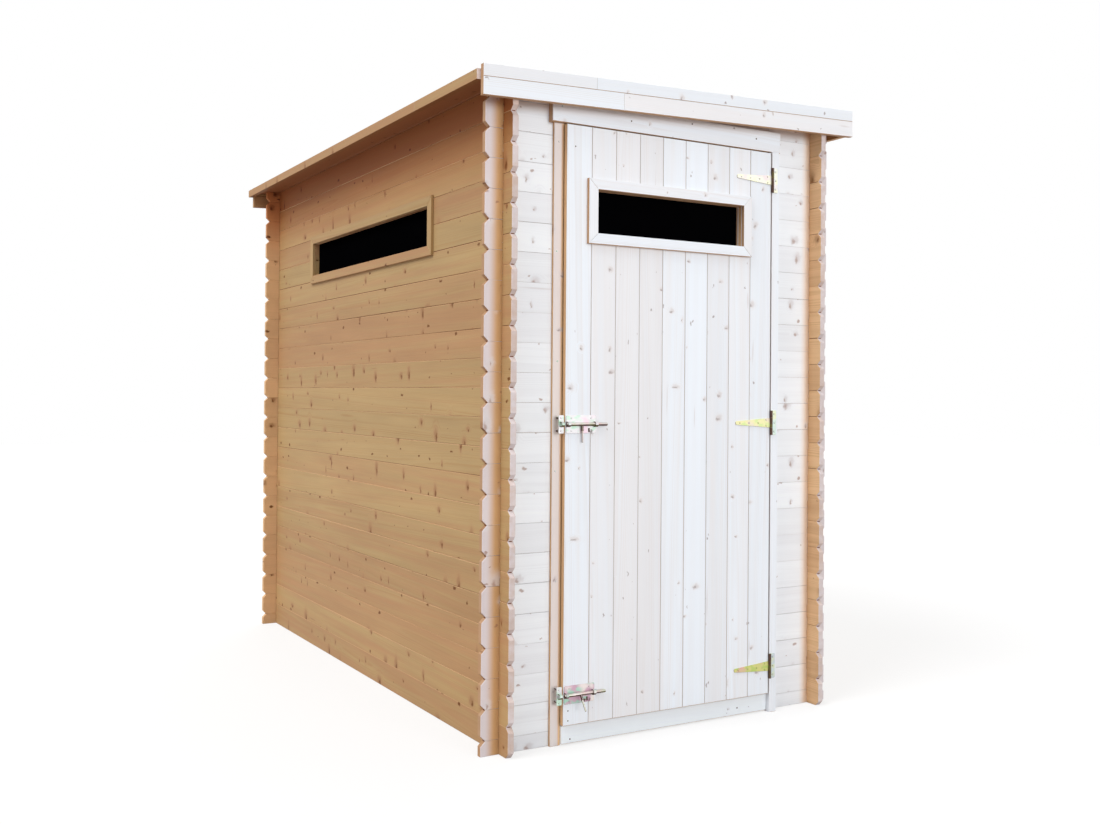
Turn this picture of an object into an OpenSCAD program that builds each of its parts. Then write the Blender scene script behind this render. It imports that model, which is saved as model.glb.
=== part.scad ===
// Small wooden garden shed of interlocking wall boards, with a nearly flat roof,
// a boarded door and one low window on its left side. Millimetres, +Z up.
// The origin is on the ground below the centre of the roof; the door faces -Y.

/* [Wall boards] */
// Cover height of one wall board
board_h = 88; // [76:1:110]
// Thickness of the wall boards
wall_t = 19; // [14:1:28]
// Length of the boards past each corner
corner_run = 58; // [40:1:90]
// Chamfer on the ends of the boards
end_chamfer = 15; // [4:1:16]
// Width over the outer faces of the side walls
wall_w = 1190; // [1120:10:1600]
// Depth over the outer faces of the front and back walls
wall_d = 2210; // [1500:10:3000]
// Whole boards in the left wall above the one that the door frame ends in
head_boards = 1; // [1:1:5]

/* [Roof] */
// Rise of the roof from the left wall to the right wall
roof_rise = 40; // [0:5:80]
// Thickness of the roof boards
deck_t = 16; // [12:1:24]
// Length of the roof boards' overhang past the side walls
side_overhang = 96; // [70:1:160]
// Height of the fascia boards
fascia_h = 88; // [60:1:140]
// Thickness of the fascia boards
fascia_t = 19; // [12:1:28]
// Part of the fascia boards that hangs below the roof boards
fascia_drop = 60; // [20:1:80]
// Height of the edge battens
batten_h = 30; // [24:1:60]
// Thickness of the edge battens
batten_t = 19; // [12:1:28]
// Part of the edge battens that hangs below the roof boards
batten_drop = 14; // [0:1:20]
// Length of front fascia past the roof boards
fascia_lap = 7; // [0:1:12]
// Number of purlins
purlin_count = 2; // [1:1:5]
// Width of the purlins
purlin_w = 45; // [30:1:70]
// Height of the purlins
purlin_h = 70; // [45:1:90]
// Height of the cleats that carry the purlins
cleat_h = 90; // [50:1:120]
// Thickness of the cleats
cleat_t = 32; // [18:1:45]

/* [Floor] */
// Number of bearers
bearer_count = 3; // [2:1:6]
// Width of the bearers
bearer_w = 58; // [40:1:90]
// Height of the bearers
bearer_h = 44; // [30:1:60]
// Thickness of the floor boards
floor_t = 18; // [12:1:24]

/* [Door] */
// Width of one door board
door_board_w = 86.5; // [76:0.5:92]
// Number of door boards
door_boards_n = 9; // [7:1:9]
// Height of the door leaf
door_h = 1774; // [1600:1:2000]
// Thickness of the door boards
door_t = 18; // [14:1:26]
// Place of the door's middle, left of the shed's middle
door_shift = 11; // [0:1:30]
// Gap around the door leaf
door_gap = 5; // [5:1:8]
// Height of the ledges across the inside of the door
ledge_h = 90; // [60:1:92]
// Thickness of the ledges and braces
ledge_t = 20; // [14:1:28]
// Gap between the ledges' ends and the doorway's lining
ledge_end = 7; // [5:1:12]
// Width of the diagonal braces
brace_w = 70; // [50:1:110]

/* [Door frame] */
// Width of the left jamb's front face
jamb_w = 34; // [26:1:40]
// Thickness of the left jamb's front part
jamb_t = 11; // [8:1:18]
// Part of the jambs that lines the doorway
lining_t = 13; // [8:1:20]
// Width over which the leaf covers the left jamb
jamb_lap = 3; // [0:1:10]
// Width of the right jamb's front face
hinge_jamb_w = 29; // [28:1:40]
// Height of the head board
head_board_h = 68; // [50:1:75]
// Thickness of the head board
head_board_t = 26; // [18:1:32]
// Length of the head board past each side of the door leaf
head_board_lap = 45; // [36:1:60]
// Thickness of the sill plank
sill_t = 18; // [12:1:22]
// Height of the sill plank's lower edge above the ground
sill_rise = 4; // [1:1:12]

/* [Windows] */
// Length of the side window's opening
side_glass_l = 1168; // [500:1:1250]
// Length of the door window's opening
door_glass_l = 554; // [300:1:580]
// Height of both window openings
glass_h = 131; // [80:1:150]
// Drop from the door leaf's upper edge to the middle of both windows
window_drop = 252; // [248:1:300]
// Place of the door window, left of the leaf's middle
door_glass_shift = 11; // [0:1:14]
// Width of the window trim
trim_w = 32; // [22:1:34]
// Thickness of the side window's trim
side_trim_t = 10; // [8:1:16]
// Thickness of the door window's trim
door_trim_t = 14; // [8:1:18]
// Thickness of the trim on the inside
inner_trim_t = 12; // [8:1:16]
// Thickness of the window panes
pane_t = 3; // [2:0.5:5]
// Width over which the inner trim holds each pane's edge
pane_lap = 10; // [6:1:16]

/* [Hinges] */
// Distance of the top and bottom hinges from the leaf's ends
hinge_inset = 90; // [84:1:94]
// Height of the hinge plates
hinge_h = 80; // [60:1:100]
// Width of the hinge plates from the pin's axis
hinge_plate_w = 23; // [18:1:26]
// Thickness of the hinge plates and straps
hinge_leaf_t = 2.5; // [2:0.5:4]
// Radius of the hinge barrels
barrel_r = 4.5; // [3.5:0.5:5]
// Radius of the hinge pins
hinge_pin_r = 2; // [1.5:0.25:2.5]
// Height of the strap's root
strap_h = 32; // [24:1:44]
// Height of the strap's tip
strap_tip_h = 11; // [8:1:20]
// Length of the strap from the pin's axis
strap_l = 146; // [100:1:200]

/* [Bolts] */
// Distance of the bolt plates from the leaf's free edge
plate_edge = 2; // [1:1:6]
// Length of the bolt plates
bolt_plate_l = 104; // [100:1:120]
// Height of the bolt plates and the keepers
bolt_plate_h = 54; // [40:1:70]
// Thickness of the bolt plates and the keepers
bolt_plate_t = 2; // [1.5:0.5:3]
// Radius of the bolt rods
rod_r = 5; // [4:0.5:7]
// Length of the bolt rods
rod_l = 141; // [130:1:170]
// Travel of the bolt rods
rod_travel = 38; // [30:1:42]
// Gap between a rod and the plate behind it
rod_lift = 1; // [0.5:0.5:3]
// Width of the guides that hold the rods
guide_w = 9; // [6:1:12]
// Wall of the guides around the rods
guide_wall = 3; // [2:0.5:4]
// Width of the keepers
keeper_w = 18; // [14:1:22]
// Gap between a keeper and the edge of the door leaf
keeper_gap = 6; // [5:1:8]
// Radius of the posts that carry the keepers
post_r = 4; // [3:0.5:5]
// Radius of the handles
handle_r = 3; // [2:0.5:4]
// Length of the handles from the rod's axis
handle_l = 54; // [40:1:70]
// Turn of the lower handle out from hanging straight down
lower_handle_turn = 35; // [0:5:60]

/* [Clearances] */
// Radial clearance of pins and rods that turn or slide
running_clear = 0.05; // [0.02:0.01:0.1]
// Axial gap between hinge barrels, and from the wall boards to the fascia
small_gap = 0.5; // [0.3:0.1:1]
// Radial clearance of a rod in its keeper
keeper_clear = 0.6; // [0.3:0.1:1]
// Gap between a handle and its guide at the end of the rod's travel
handle_clear = 2.5; // [1:0.5:5]
// Gap below pieces that lie on a sloping edge
slope_gap = 0.05; // [0.02:0.01:0.2]

/* [Hidden] */
$fn = 48;
cut = 1; // how far a cutting tool reaches past what it cuts

// Walls. Side walls run along Y and start with a whole board; the front and back
// walls run along X and start with half a board, so the corners interlock.
x_left = -wall_w / 2;
x_right = wall_w / 2;
y_front = -wall_d / 2;
y_back = wall_d / 2;
lap_h = board_h / 2; // height of each lap where walls cross

// The door leaf starts level with the floor boards, and the left wall has whole
// boards up to the one that the door frame ends in, and head_boards above it
floor_z = bearer_h + floor_t;
leaf_z0 = floor_z;
leaf_z1 = leaf_z0 + door_h;
head_z = leaf_z1 + door_gap;
left_boards = ceil(head_z / board_h) + head_boards;
wall_h = left_boards * board_h;
seam_count = left_boards + 3;

// Height of the walls' upper edge above the ground at x
function roof_z(x) = wall_h + roof_rise * (x - x_left) / wall_w;

// Seams between side wall boards, and between front or back wall boards,
// that lie a chamfer or more below the height top
function side_seams(top) =
    [for (k = [1 : seam_count]) if (k * board_h + end_chamfer < top) k * board_h];
function front_seams(top) =
    [for (k = [0 : seam_count]) if ((k + 0.5) * board_h + end_chamfer < top) (k + 0.5) * board_h];

// Outline of a wall's notched end at u, from the bottom up; inward is +1 or -1
function end_notches(u, inward, seams) =
    [for (s = seams) for (v = [-end_chamfer, 0, end_chamfer])
        [u + (v == 0 ? inward * end_chamfer : 0), s + v]];
function reversed(points) = [for (i = [len(points) - 1 : -1 : 0]) points[i]];

// Roof and door leaf
roof_y0 = y_front - corner_run - small_gap;
roof_y1 = y_back + corner_run + small_gap;
roof_x0 = x_left - side_overhang;
roof_x1 = x_right + side_overhang;

leaf_w = door_boards_n * door_board_w;
leaf_x0 = -door_shift - leaf_w / 2;
leaf_x1 = leaf_x0 + leaf_w;
leaf_back_y = y_front - jamb_t - door_gap;
leaf_front_y = leaf_back_y - door_t;

// Clear doorway between the linings, and the cut in the wall around them
way_x0 = leaf_x0 + jamb_lap;
way_x1 = leaf_x1 + door_gap;
cut_x0 = way_x0 - lining_t;
cut_x1 = way_x1 + lining_t;
sill_top = leaf_z0 - door_gap;
cut_z1 = head_z + lining_t;

// Ledges on the inside of the door, level with the hinges
ledge_x0 = way_x0 + ledge_end;
ledge_x1 = leaf_x1 - door_gap;
ledge_back_y = leaf_back_y + ledge_t;
hinge_z_low = leaf_z0 + hinge_inset;
hinge_z_high = leaf_z1 - hinge_inset;
hinge_z_middle = (hinge_z_low + hinge_z_high) / 2;
hinge_heights = [hinge_z_low, hinge_z_middle, hinge_z_high];

// Hinges: pins stand in front of the gap between the leaf and the right jamb
pin_x = leaf_x1 + door_gap / 2;
pin_y = leaf_front_y - barrel_r - small_gap;
end_knuckle_h = (hinge_h - strap_h) / 2 - small_gap;

// Bolts
bolt_x0 = leaf_x0 + plate_edge;
rod_y = leaf_front_y - bolt_plate_t - rod_lift - rod_r;
rod_rest_x = leaf_x0 - small_gap;
guide_r = rod_r + guide_wall;
keeper_x1 = leaf_x0 - keeper_gap;
keeper_x0 = keeper_x1 - keeper_w;
handle_x = bolt_x0 + guide_w + handle_clear + rod_travel + handle_r;

// Windows
glass_z = leaf_z1 - window_drop;
door_glass_x = (leaf_x0 + leaf_x1) / 2 - door_glass_shift;
frame_h = glass_h + 2 * trim_w;

// Helpers ------------------------------------------------------------------

// A box given by its low and high corners
module box(low, high) {
    translate(low) cube(high - low);
}

// Draws an outline of [x, z] points from y0 to y1
module along_y(y0, y1) {
    translate([0, y1, 0]) rotate([90, 0, 0]) linear_extrude(height = y1 - y0) children();
}

// Draws an outline of [y, z] points from x0 to x1
module along_x(x0, x1) {
    translate([x0, 0, 0]) rotate([90, 0, 90]) linear_extrude(height = x1 - x0) children();
}

// A strip that follows the roof's slope, between two heights above the walls' edge
module roof_strip(x0, x1, low, high) {
    polygon([[x0, roof_z(x0) + low], [x1, roof_z(x1) + low],
             [x1, roof_z(x1) + high], [x0, roof_z(x0) + high]]);
}

// Laps cut from boards where walls cross: side walls lose what the others keep
module side_laps(x0, y0) {
    for (k = [0 : seam_count])
        translate([x0 - cut, y0, k * board_h - lap_h / 2])
            cube([wall_t + 2 * cut, wall_t, lap_h]);
}
module front_laps(x0, y0) {
    for (k = [0 : seam_count])
        translate([x0, y0 - cut, k * board_h + lap_h / 2])
            cube([wall_t, wall_t + 2 * cut, lap_h]);
}

// Outlines of the trim around a window opening and of the pane held by it
module frame_outline(opening_l) {
    difference() {
        square([opening_l + 2 * trim_w, frame_h], center = true);
        square([opening_l, glass_h], center = true);
    }
}
module pane_outline(opening_l) {
    square([opening_l + 2 * pane_lap, glass_h + 2 * pane_lap], center = true);
}

// Walls --------------------------------------------------------------------

module side_wall(x0, top) {
    y0 = y_front - corner_run;
    y1 = y_back + corner_run;
    seams = side_seams(top);
    difference() {
        along_x(x0, x0 + wall_t)
            polygon(concat([[y0 + end_chamfer, 0]], [[y0, end_chamfer]],
                           end_notches(y0, 1, seams), [[y0, top], [y1, top]],
                           reversed(end_notches(y1, -1, seams)),
                           [[y1, end_chamfer], [y1 - end_chamfer, 0]]));
        side_laps(x0, y_front);
        side_laps(x0, y_back - wall_t);
    }
}

module left_wall() {
    color("burlywood") difference() {
        side_wall(x_left, roof_z(x_left));
        box([x_left - cut, -side_glass_l / 2, glass_z - glass_h / 2],
            [x_left + wall_t + cut, side_glass_l / 2, glass_z + glass_h / 2]);
    }
}

module right_wall() {
    color("burlywood") side_wall(x_right - wall_t, roof_z(x_right - wall_t));
}

module back_wall() {
    x0 = x_left - corner_run;
    x1 = x_right + corner_run;
    color("tan") difference() {
        along_y(y_back - wall_t, y_back)
            polygon(concat([[x0, 0]], end_notches(x0, 1, front_seams(roof_z(x0))),
                           [[x0, roof_z(x0)], [x1, roof_z(x1)]],
                           reversed(end_notches(x1, -1, front_seams(roof_z(x1)))), [[x1, 0]]));
        front_laps(x_left, y_back - wall_t);
        front_laps(x_right - wall_t, y_back - wall_t);
    }
}

module front_wall_left() {
    x0 = x_left - corner_run;
    color("antiquewhite") difference() {
        along_y(y_front, y_front + wall_t)
            polygon(concat([[x0, 0]], end_notches(x0, 1, front_seams(roof_z(x0))),
                           [[x0, roof_z(x0)], [cut_x0, roof_z(cut_x0)], [cut_x0, 0]]));
        front_laps(x_left, y_front);
    }
}

module front_wall_right() {
    x1 = x_right + corner_run;
    color("antiquewhite") difference() {
        along_y(y_front, y_front + wall_t)
            polygon(concat([[cut_x1, 0], [cut_x1, roof_z(cut_x1)], [x1, roof_z(x1)]],
                           reversed(end_notches(x1, -1, front_seams(roof_z(x1)))), [[x1, 0]]));
        front_laps(x_right - wall_t, y_front);
    }
}

module front_wall_head() {
    color("antiquewhite") along_y(y_front, y_front + wall_t)
        polygon([[cut_x0, cut_z1], [cut_x1, cut_z1],
                 [cut_x1, roof_z(cut_x1)], [cut_x0, roof_z(cut_x0)]]);
}

module threshold_board() {
    color("antiquewhite")
        box([way_x0, y_front, 0], [way_x1, y_front + wall_t, sill_top]);
}

// Floor --------------------------------------------------------------------

module floor_bearers() {
    span = wall_w - 2 * wall_t - bearer_w;
    color("darkseagreen") for (i = [0 : bearer_count - 1])
        translate([-span / 2 - bearer_w / 2 + i * span / (bearer_count - 1), y_front + wall_t, 0])
            cube([bearer_w, wall_d - 2 * wall_t, bearer_h]);
}

module floor_boards() {
    color("wheat") box([x_left + wall_t, y_front + wall_t, bearer_h],
                       [x_right - wall_t, y_back - wall_t, floor_z]);
}

// Door frame ---------------------------------------------------------------

module left_jamb() {
    color("linen") {
        box([way_x0 - jamb_w, y_front - jamb_t, 0], [way_x0, y_front, head_z]);
        box([cut_x0, y_front, 0], [way_x0, y_front + wall_t, cut_z1]);
        box([way_x0 - jamb_w, y_front + wall_t, floor_z],
            [way_x0, y_front + wall_t + jamb_t, cut_z1]);
    }
}

module right_jamb() {
    color("linen") {
        box([way_x1, leaf_front_y, 0], [way_x1 + hinge_jamb_w, y_front, head_z]);
        box([way_x1, y_front, 0], [cut_x1, y_front + wall_t, cut_z1]);
        box([way_x1, y_front + wall_t, floor_z],
            [way_x1 + hinge_jamb_w, y_front + wall_t + jamb_t, cut_z1]);
    }
}

module head_lining() {
    color("linen") box([way_x0, y_front, head_z], [way_x1, y_front + wall_t, cut_z1]);
}

module head_board() {
    color("linen") box([leaf_x0 - head_board_lap, y_front - head_board_t, head_z],
                       [leaf_x1 + head_board_lap, y_front, head_z + head_board_h]);
}

module sill_plank() {
    color("linen") box([way_x0, y_front - sill_t, sill_rise], [way_x1, y_front, sill_top]);
}

// Roof ---------------------------------------------------------------------

module roof_purlins() {
    color("tan") for (i = [1 : purlin_count])
        translate([0, y_front + i * wall_d / (purlin_count + 1), 0])
            along_y(-purlin_w / 2, purlin_w / 2)
                roof_strip(x_left + wall_t, x_right - wall_t, -purlin_h, 0);
}

module purlin_cleats() {
    color("peru") for (i = [1 : purlin_count], x0 = [x_left + wall_t, x_right - wall_t - cleat_t])
        translate([0, y_front + i * wall_d / (purlin_count + 1), 0])
            along_y(-purlin_w / 2, purlin_w / 2)
                roof_strip(x0, x0 + cleat_t, -purlin_h - cleat_h, -purlin_h - slope_gap);
}

module roof_boards() {
    color("peru") along_y(roof_y0, roof_y1)
        roof_strip(roof_x0, roof_x1, slope_gap, deck_t + slope_gap);
}

module front_fascia() {
    color("linen") along_y(roof_y0 - fascia_t, roof_y0)
        roof_strip(roof_x0 - fascia_lap, roof_x1 + fascia_lap, -fascia_drop, fascia_h - fascia_drop);
}

module back_fascia() {
    color("linen") along_y(roof_y1, roof_y1 + fascia_t)
        roof_strip(roof_x0, roof_x1, -fascia_drop, fascia_h - fascia_drop);
}

module edge_batten(x0) {
    color("burlywood") along_y(roof_y0, roof_y1 + fascia_t)
        roof_strip(x0, x0 + batten_t, -batten_drop, batten_h - batten_drop);
}
module left_edge_batten() { edge_batten(roof_x0 - batten_t); }
module right_edge_batten() { edge_batten(roof_x1); }

// Side window --------------------------------------------------------------

module side_window_trim() {
    color("burlywood") translate([x_left - side_trim_t, 0, glass_z])
        along_x(0, side_trim_t) frame_outline(side_glass_l);
}

module side_window_inner_trim() {
    color("burlywood") translate([x_left + wall_t, 0, glass_z]) difference() {
        along_x(0, inner_trim_t) frame_outline(side_glass_l);
        along_x(-cut, pane_t) pane_outline(side_glass_l);
    }
}

module side_window_pane() {
    color("black") translate([x_left + wall_t, 0, glass_z])
        along_x(0, pane_t) pane_outline(side_glass_l);
}

// Door ---------------------------------------------------------------------

module door_boards() {
    color("seashell") difference() {
        box([leaf_x0, leaf_front_y, leaf_z0], [leaf_x1, leaf_back_y, leaf_z1]);
        translate([door_glass_x, 0, glass_z])
            along_y(leaf_front_y - cut, leaf_back_y + cut) square([door_glass_l, glass_h], center = true);
    }
}

module door_ledges() {
    color("wheat") for (z = hinge_heights)
        box([ledge_x0, leaf_back_y, z - ledge_h / 2], [ledge_x1, ledge_back_y, z + ledge_h / 2]);
}

module door_braces() {
    color("wheat") {
        door_brace(hinge_z_low + ledge_h / 2, hinge_z_middle - ledge_h / 2);
        door_brace(hinge_z_middle + ledge_h / 2, glass_z - frame_h / 2 - small_gap);
    }
}

// A brace that rises from the hinge side to the free side of the door
module door_brace(z0, z1) {
    along_y(leaf_back_y, ledge_back_y)
        polygon([[ledge_x1 - brace_w, z0], [ledge_x1, z0], [ledge_x0 + brace_w, z1], [ledge_x0, z1]]);
}

module door_window_trim() {
    color("linen") translate([door_glass_x, 0, glass_z])
        along_y(leaf_front_y - door_trim_t, leaf_front_y) frame_outline(door_glass_l);
}

module door_window_inner_trim() {
    back = leaf_back_y + inner_trim_t;
    color("wheat") translate([door_glass_x, 0, glass_z]) difference() {
        along_y(leaf_back_y, back) frame_outline(door_glass_l);
        along_y(back - pane_t, back + cut) pane_outline(door_glass_l);
    }
}

module door_window_pane() {
    back = leaf_back_y + inner_trim_t;
    color("black") translate([door_glass_x, 0, glass_z])
        along_y(back - pane_t, back) pane_outline(door_glass_l);
}

// Hinges -------------------------------------------------------------------

module hinge_plate(z) {
    color("gold") translate([pin_x, 0, z]) {
        box([0, leaf_front_y - hinge_leaf_t, -hinge_h / 2],
            [hinge_plate_w, leaf_front_y, -strap_h / 2 - small_gap]);
        box([0, leaf_front_y - hinge_leaf_t, strap_h / 2 + small_gap],
            [hinge_plate_w, leaf_front_y, hinge_h / 2]);
        box([barrel_r + 2 * small_gap, leaf_front_y - hinge_leaf_t, -hinge_h / 2],
            [hinge_plate_w, leaf_front_y, hinge_h / 2]);
        for (z0 = [-hinge_h / 2, hinge_h / 2 - end_knuckle_h])
            translate([0, pin_y, z0]) cylinder(r = barrel_r, h = end_knuckle_h);
        translate([0, pin_y, -hinge_h / 2]) cylinder(r = hinge_pin_r, h = hinge_h);
    }
}
module top_hinge_plate() { hinge_plate(hinge_z_high); }
module middle_hinge_plate() { hinge_plate(hinge_z_middle); }
module bottom_hinge_plate() { hinge_plate(hinge_z_low); }

module hinge_strap(z) {
    tip_r = strap_tip_h / 2;
    color("gold") translate([pin_x, 0, z]) difference() {
        union() {
            translate([0, pin_y, -strap_h / 2]) cylinder(r = barrel_r, h = strap_h);
            along_y(leaf_front_y - hinge_leaf_t, leaf_front_y) {
                polygon([[-strap_l + tip_r, -tip_r], [0, -strap_h / 2],
                         [0, strap_h / 2], [-strap_l + tip_r, tip_r]]);
                translate([-strap_l + tip_r, 0]) circle(r = tip_r);
            }
        }
        translate([0, pin_y, -hinge_h / 2]) cylinder(r = hinge_pin_r + running_clear, h = hinge_h);
    }
}
module top_hinge_strap() { hinge_strap(hinge_z_high); }
module middle_hinge_strap() { hinge_strap(hinge_z_middle); }
module bottom_hinge_strap() { hinge_strap(hinge_z_low); }

// Bolts --------------------------------------------------------------------

// A guide around a rod that runs along X, from the rod's axis back to its plate
module rod_guide(x0, width, clear) {
    difference() {
        union() {
            translate([x0, rod_y, 0]) rotate([0, 90, 0]) cylinder(r = guide_r, h = width);
            box([x0, rod_y, -guide_r], [x0 + width, leaf_front_y - bolt_plate_t / 2, guide_r]);
        }
        translate([x0 - cut, rod_y, 0]) rotate([0, 90, 0])
            cylinder(r = rod_r + clear, h = width + 2 * cut);
    }
}

module bolt_plate(z) {
    color("silver") translate([0, 0, z]) {
        box([bolt_x0, leaf_front_y - bolt_plate_t, -bolt_plate_h / 2],
            [bolt_x0 + bolt_plate_l, leaf_front_y, bolt_plate_h / 2]);
        rod_guide(bolt_x0, guide_w, running_clear);
        rod_guide(bolt_x0 + bolt_plate_l - guide_w, guide_w, running_clear);
    }
}
module upper_bolt_plate() { bolt_plate(hinge_z_middle); }
module lower_bolt_plate() { bolt_plate(hinge_z_low); }

module bolt_rod(z, turn) {
    color("silver") translate([0, rod_y, z]) {
        translate([rod_rest_x, 0, 0]) rotate([0, 90, 0]) cylinder(r = rod_r, h = rod_l);
        translate([handle_x, 0, 0]) rotate([-turn, 0, 0])
            translate([0, 0, -handle_l]) cylinder(r = handle_r, h = handle_l);
    }
}
module upper_bolt_rod() { bolt_rod(hinge_z_middle, 0); }
module lower_bolt_rod() { bolt_rod(hinge_z_low, lower_handle_turn); }

module keeper(z) {
    color("silver") translate([0, 0, z]) {
        box([keeper_x0, leaf_front_y - bolt_plate_t, -bolt_plate_h / 2],
            [keeper_x1, leaf_front_y, bolt_plate_h / 2]);
        rod_guide(keeper_x0 + keeper_w / 2 - guide_w / 2, guide_w, keeper_clear);
        for (side = [-1, 1])
            translate([keeper_x0 + keeper_w / 2, y_front - jamb_t, side * (bolt_plate_h / 2 - 2 * post_r)])
                rotate([90, 0, 0]) cylinder(r = post_r, h = door_gap + door_t);
    }
}
module upper_keeper() { keeper(hinge_z_middle); }
module lower_keeper() { keeper(hinge_z_low); }

left_wall();
right_wall();
back_wall();
front_wall_left();
front_wall_right();
front_wall_head();
threshold_board();
floor_bearers();
floor_boards();
left_jamb();
right_jamb();
head_lining();
head_board();
sill_plank();
roof_purlins();
purlin_cleats();
roof_boards();
front_fascia();
back_fascia();
left_edge_batten();
right_edge_batten();
side_window_trim();
side_window_inner_trim();
side_window_pane();
door_boards();
door_ledges();
door_braces();
door_window_trim();
door_window_inner_trim();
door_window_pane();
top_hinge_plate();
middle_hinge_plate();
bottom_hinge_plate();
top_hinge_strap();
middle_hinge_strap();
bottom_hinge_strap();
upper_bolt_plate();
lower_bolt_plate();
upper_bolt_rod();
lower_bolt_rod();
upper_keeper();
lower_keeper();
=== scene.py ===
"""Boards, fittings, finishes and a plain studio for a small wooden garden shed.

Everything is in metres, +Z up, and the door faces -Y. Each piece stands on the
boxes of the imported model's nodes, and rides on one of its bodies.
"""
import math
import random

import bmesh
import bpy
from bpy.props import FloatProperty, FloatVectorProperty, IntProperty, PointerProperty
from mathutils import Matrix, Vector


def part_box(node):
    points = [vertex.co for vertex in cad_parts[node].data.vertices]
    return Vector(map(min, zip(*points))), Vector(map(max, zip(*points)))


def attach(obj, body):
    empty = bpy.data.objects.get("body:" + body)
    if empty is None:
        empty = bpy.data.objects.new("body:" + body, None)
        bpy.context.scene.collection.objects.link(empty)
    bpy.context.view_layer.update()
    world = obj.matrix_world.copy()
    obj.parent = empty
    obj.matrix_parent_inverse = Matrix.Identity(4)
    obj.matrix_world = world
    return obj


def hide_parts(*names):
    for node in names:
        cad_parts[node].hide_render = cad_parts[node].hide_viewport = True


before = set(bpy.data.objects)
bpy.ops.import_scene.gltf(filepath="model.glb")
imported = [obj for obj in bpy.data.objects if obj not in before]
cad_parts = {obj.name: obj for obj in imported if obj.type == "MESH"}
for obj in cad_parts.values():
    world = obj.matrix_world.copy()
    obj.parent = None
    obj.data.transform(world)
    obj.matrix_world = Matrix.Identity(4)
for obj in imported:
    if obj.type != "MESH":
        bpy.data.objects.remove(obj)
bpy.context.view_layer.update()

bl_info = {
    "name": "Garden Shed",
    "version": (1, 0, 0),
    "blender": (4, 5, 0),
    "location": "View3D > Sidebar > Garden Shed",
    "description": "Builds the boards, fittings and finishes of a small wooden garden shed",
    "category": "Object",
}

NEAR = 1e-6  # two places closer than this are one
GAP = 0.0002  # half the least gap between two boards that lie side by side

# How a piece's faces are told apart, for their finishes
ALONG_Y, TO_RIGHT, UP, DOWN, TO_LEFT, DARK = range(6)


# Sizes and colours --------------------------------------------------------

def srgb(*levels):
    """A colour written as three screen levels up to 255, as scene-linear numbers."""
    shares = [level / 255 for level in levels]
    return tuple(s / 12.92 if s <= 0.04045 else ((s + 0.055) / 1.055) ** 2.4 for s in shares)


def length(name, description, default):
    """A length that a user may change."""
    return FloatProperty(name=name, description=description, default=default,
                         min=0.0, max=3.0, unit="LENGTH", precision=4)


def colour(name, description, *levels):
    """A colour that a user may change."""
    return FloatVectorProperty(name=name, description=description, default=srgb(*levels),
                               size=3, min=0.0, max=1.0, subtype="COLOR")


def share(name, description, default):
    """A number from none to all that a user may change."""
    return FloatProperty(name=name, description=description, default=default,
                         min=0.0, max=1.0, subtype="FACTOR")


class ShedSizes(bpy.types.PropertyGroup):
    """Sizes of the boards and fittings"""
    board_cover: length("Wall board cover", "Height that one wall board covers", 0.088)
    end_chamfer: length("End chamfer", "Chamfer on the ends of the wall boards", 0.015)
    board_arris: length("Board edge", "Width of the eased edges of wall boards", 0.0012)
    board_gap: length("Board gap", "Widest gap between two boards", 0.0007)
    door_boards: IntProperty(name="Door boards", description="Number of boards in the door",
                             default=9, min=5, max=14)
    door_arris: length("Door board edge", "Width of the eased edges of door boards", 0.0014)
    roof_cover: length("Roof board cover", "Width that one roof board covers", 0.088)
    floor_cover: length("Floor board cover", "Width that one floor board covers", 0.09)
    batten_hang: length("Batten hang", "Part of the right batten that hangs below the left one",
                        0.038)
    trim_width: length("Trim width", "Width of the window trim", 0.032)
    purlin_width: length("Purlin width", "Width of the roof purlins", 0.045)
    cleat_width: length("Cleat width", "Thickness of the cleats under the purlins", 0.032)
    bearer_width: length("Bearer width", "Width of the floor bearers", 0.058)
    ledge_height: length("Ledge height", "Height of the ledges inside the door", 0.09)
    brace_width: length("Brace width", "Width of the diagonal braces", 0.07)
    lining: length("Lining", "Part of the jambs that lines the doorway", 0.013)
    nail_radius: length("Nail head", "Radius of the nail heads", 0.0028)
    screw_radius: length("Screw head", "Radius of the screw heads", 0.0036)
    strap_height: length("Strap height", "Height of the hinge strap's root", 0.032)
    strap_tip: length("Strap tip", "Height of the hinge strap's tip", 0.011)
    hinge_sheet: length("Hinge sheet", "Thickness of the hinges' sheet metal", 0.0025)
    hinge_barrel: length("Hinge barrel", "Radius of the hinge barrels", 0.0045)
    bolt_sheet: length("Bolt sheet", "Thickness of the bolts' sheet metal", 0.002)
    bolt_rod: length("Bolt rod", "Radius of the bolt rods", 0.005)
    guide_width: length("Guide width", "Width of the guides that hold the rods", 0.009)


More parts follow.
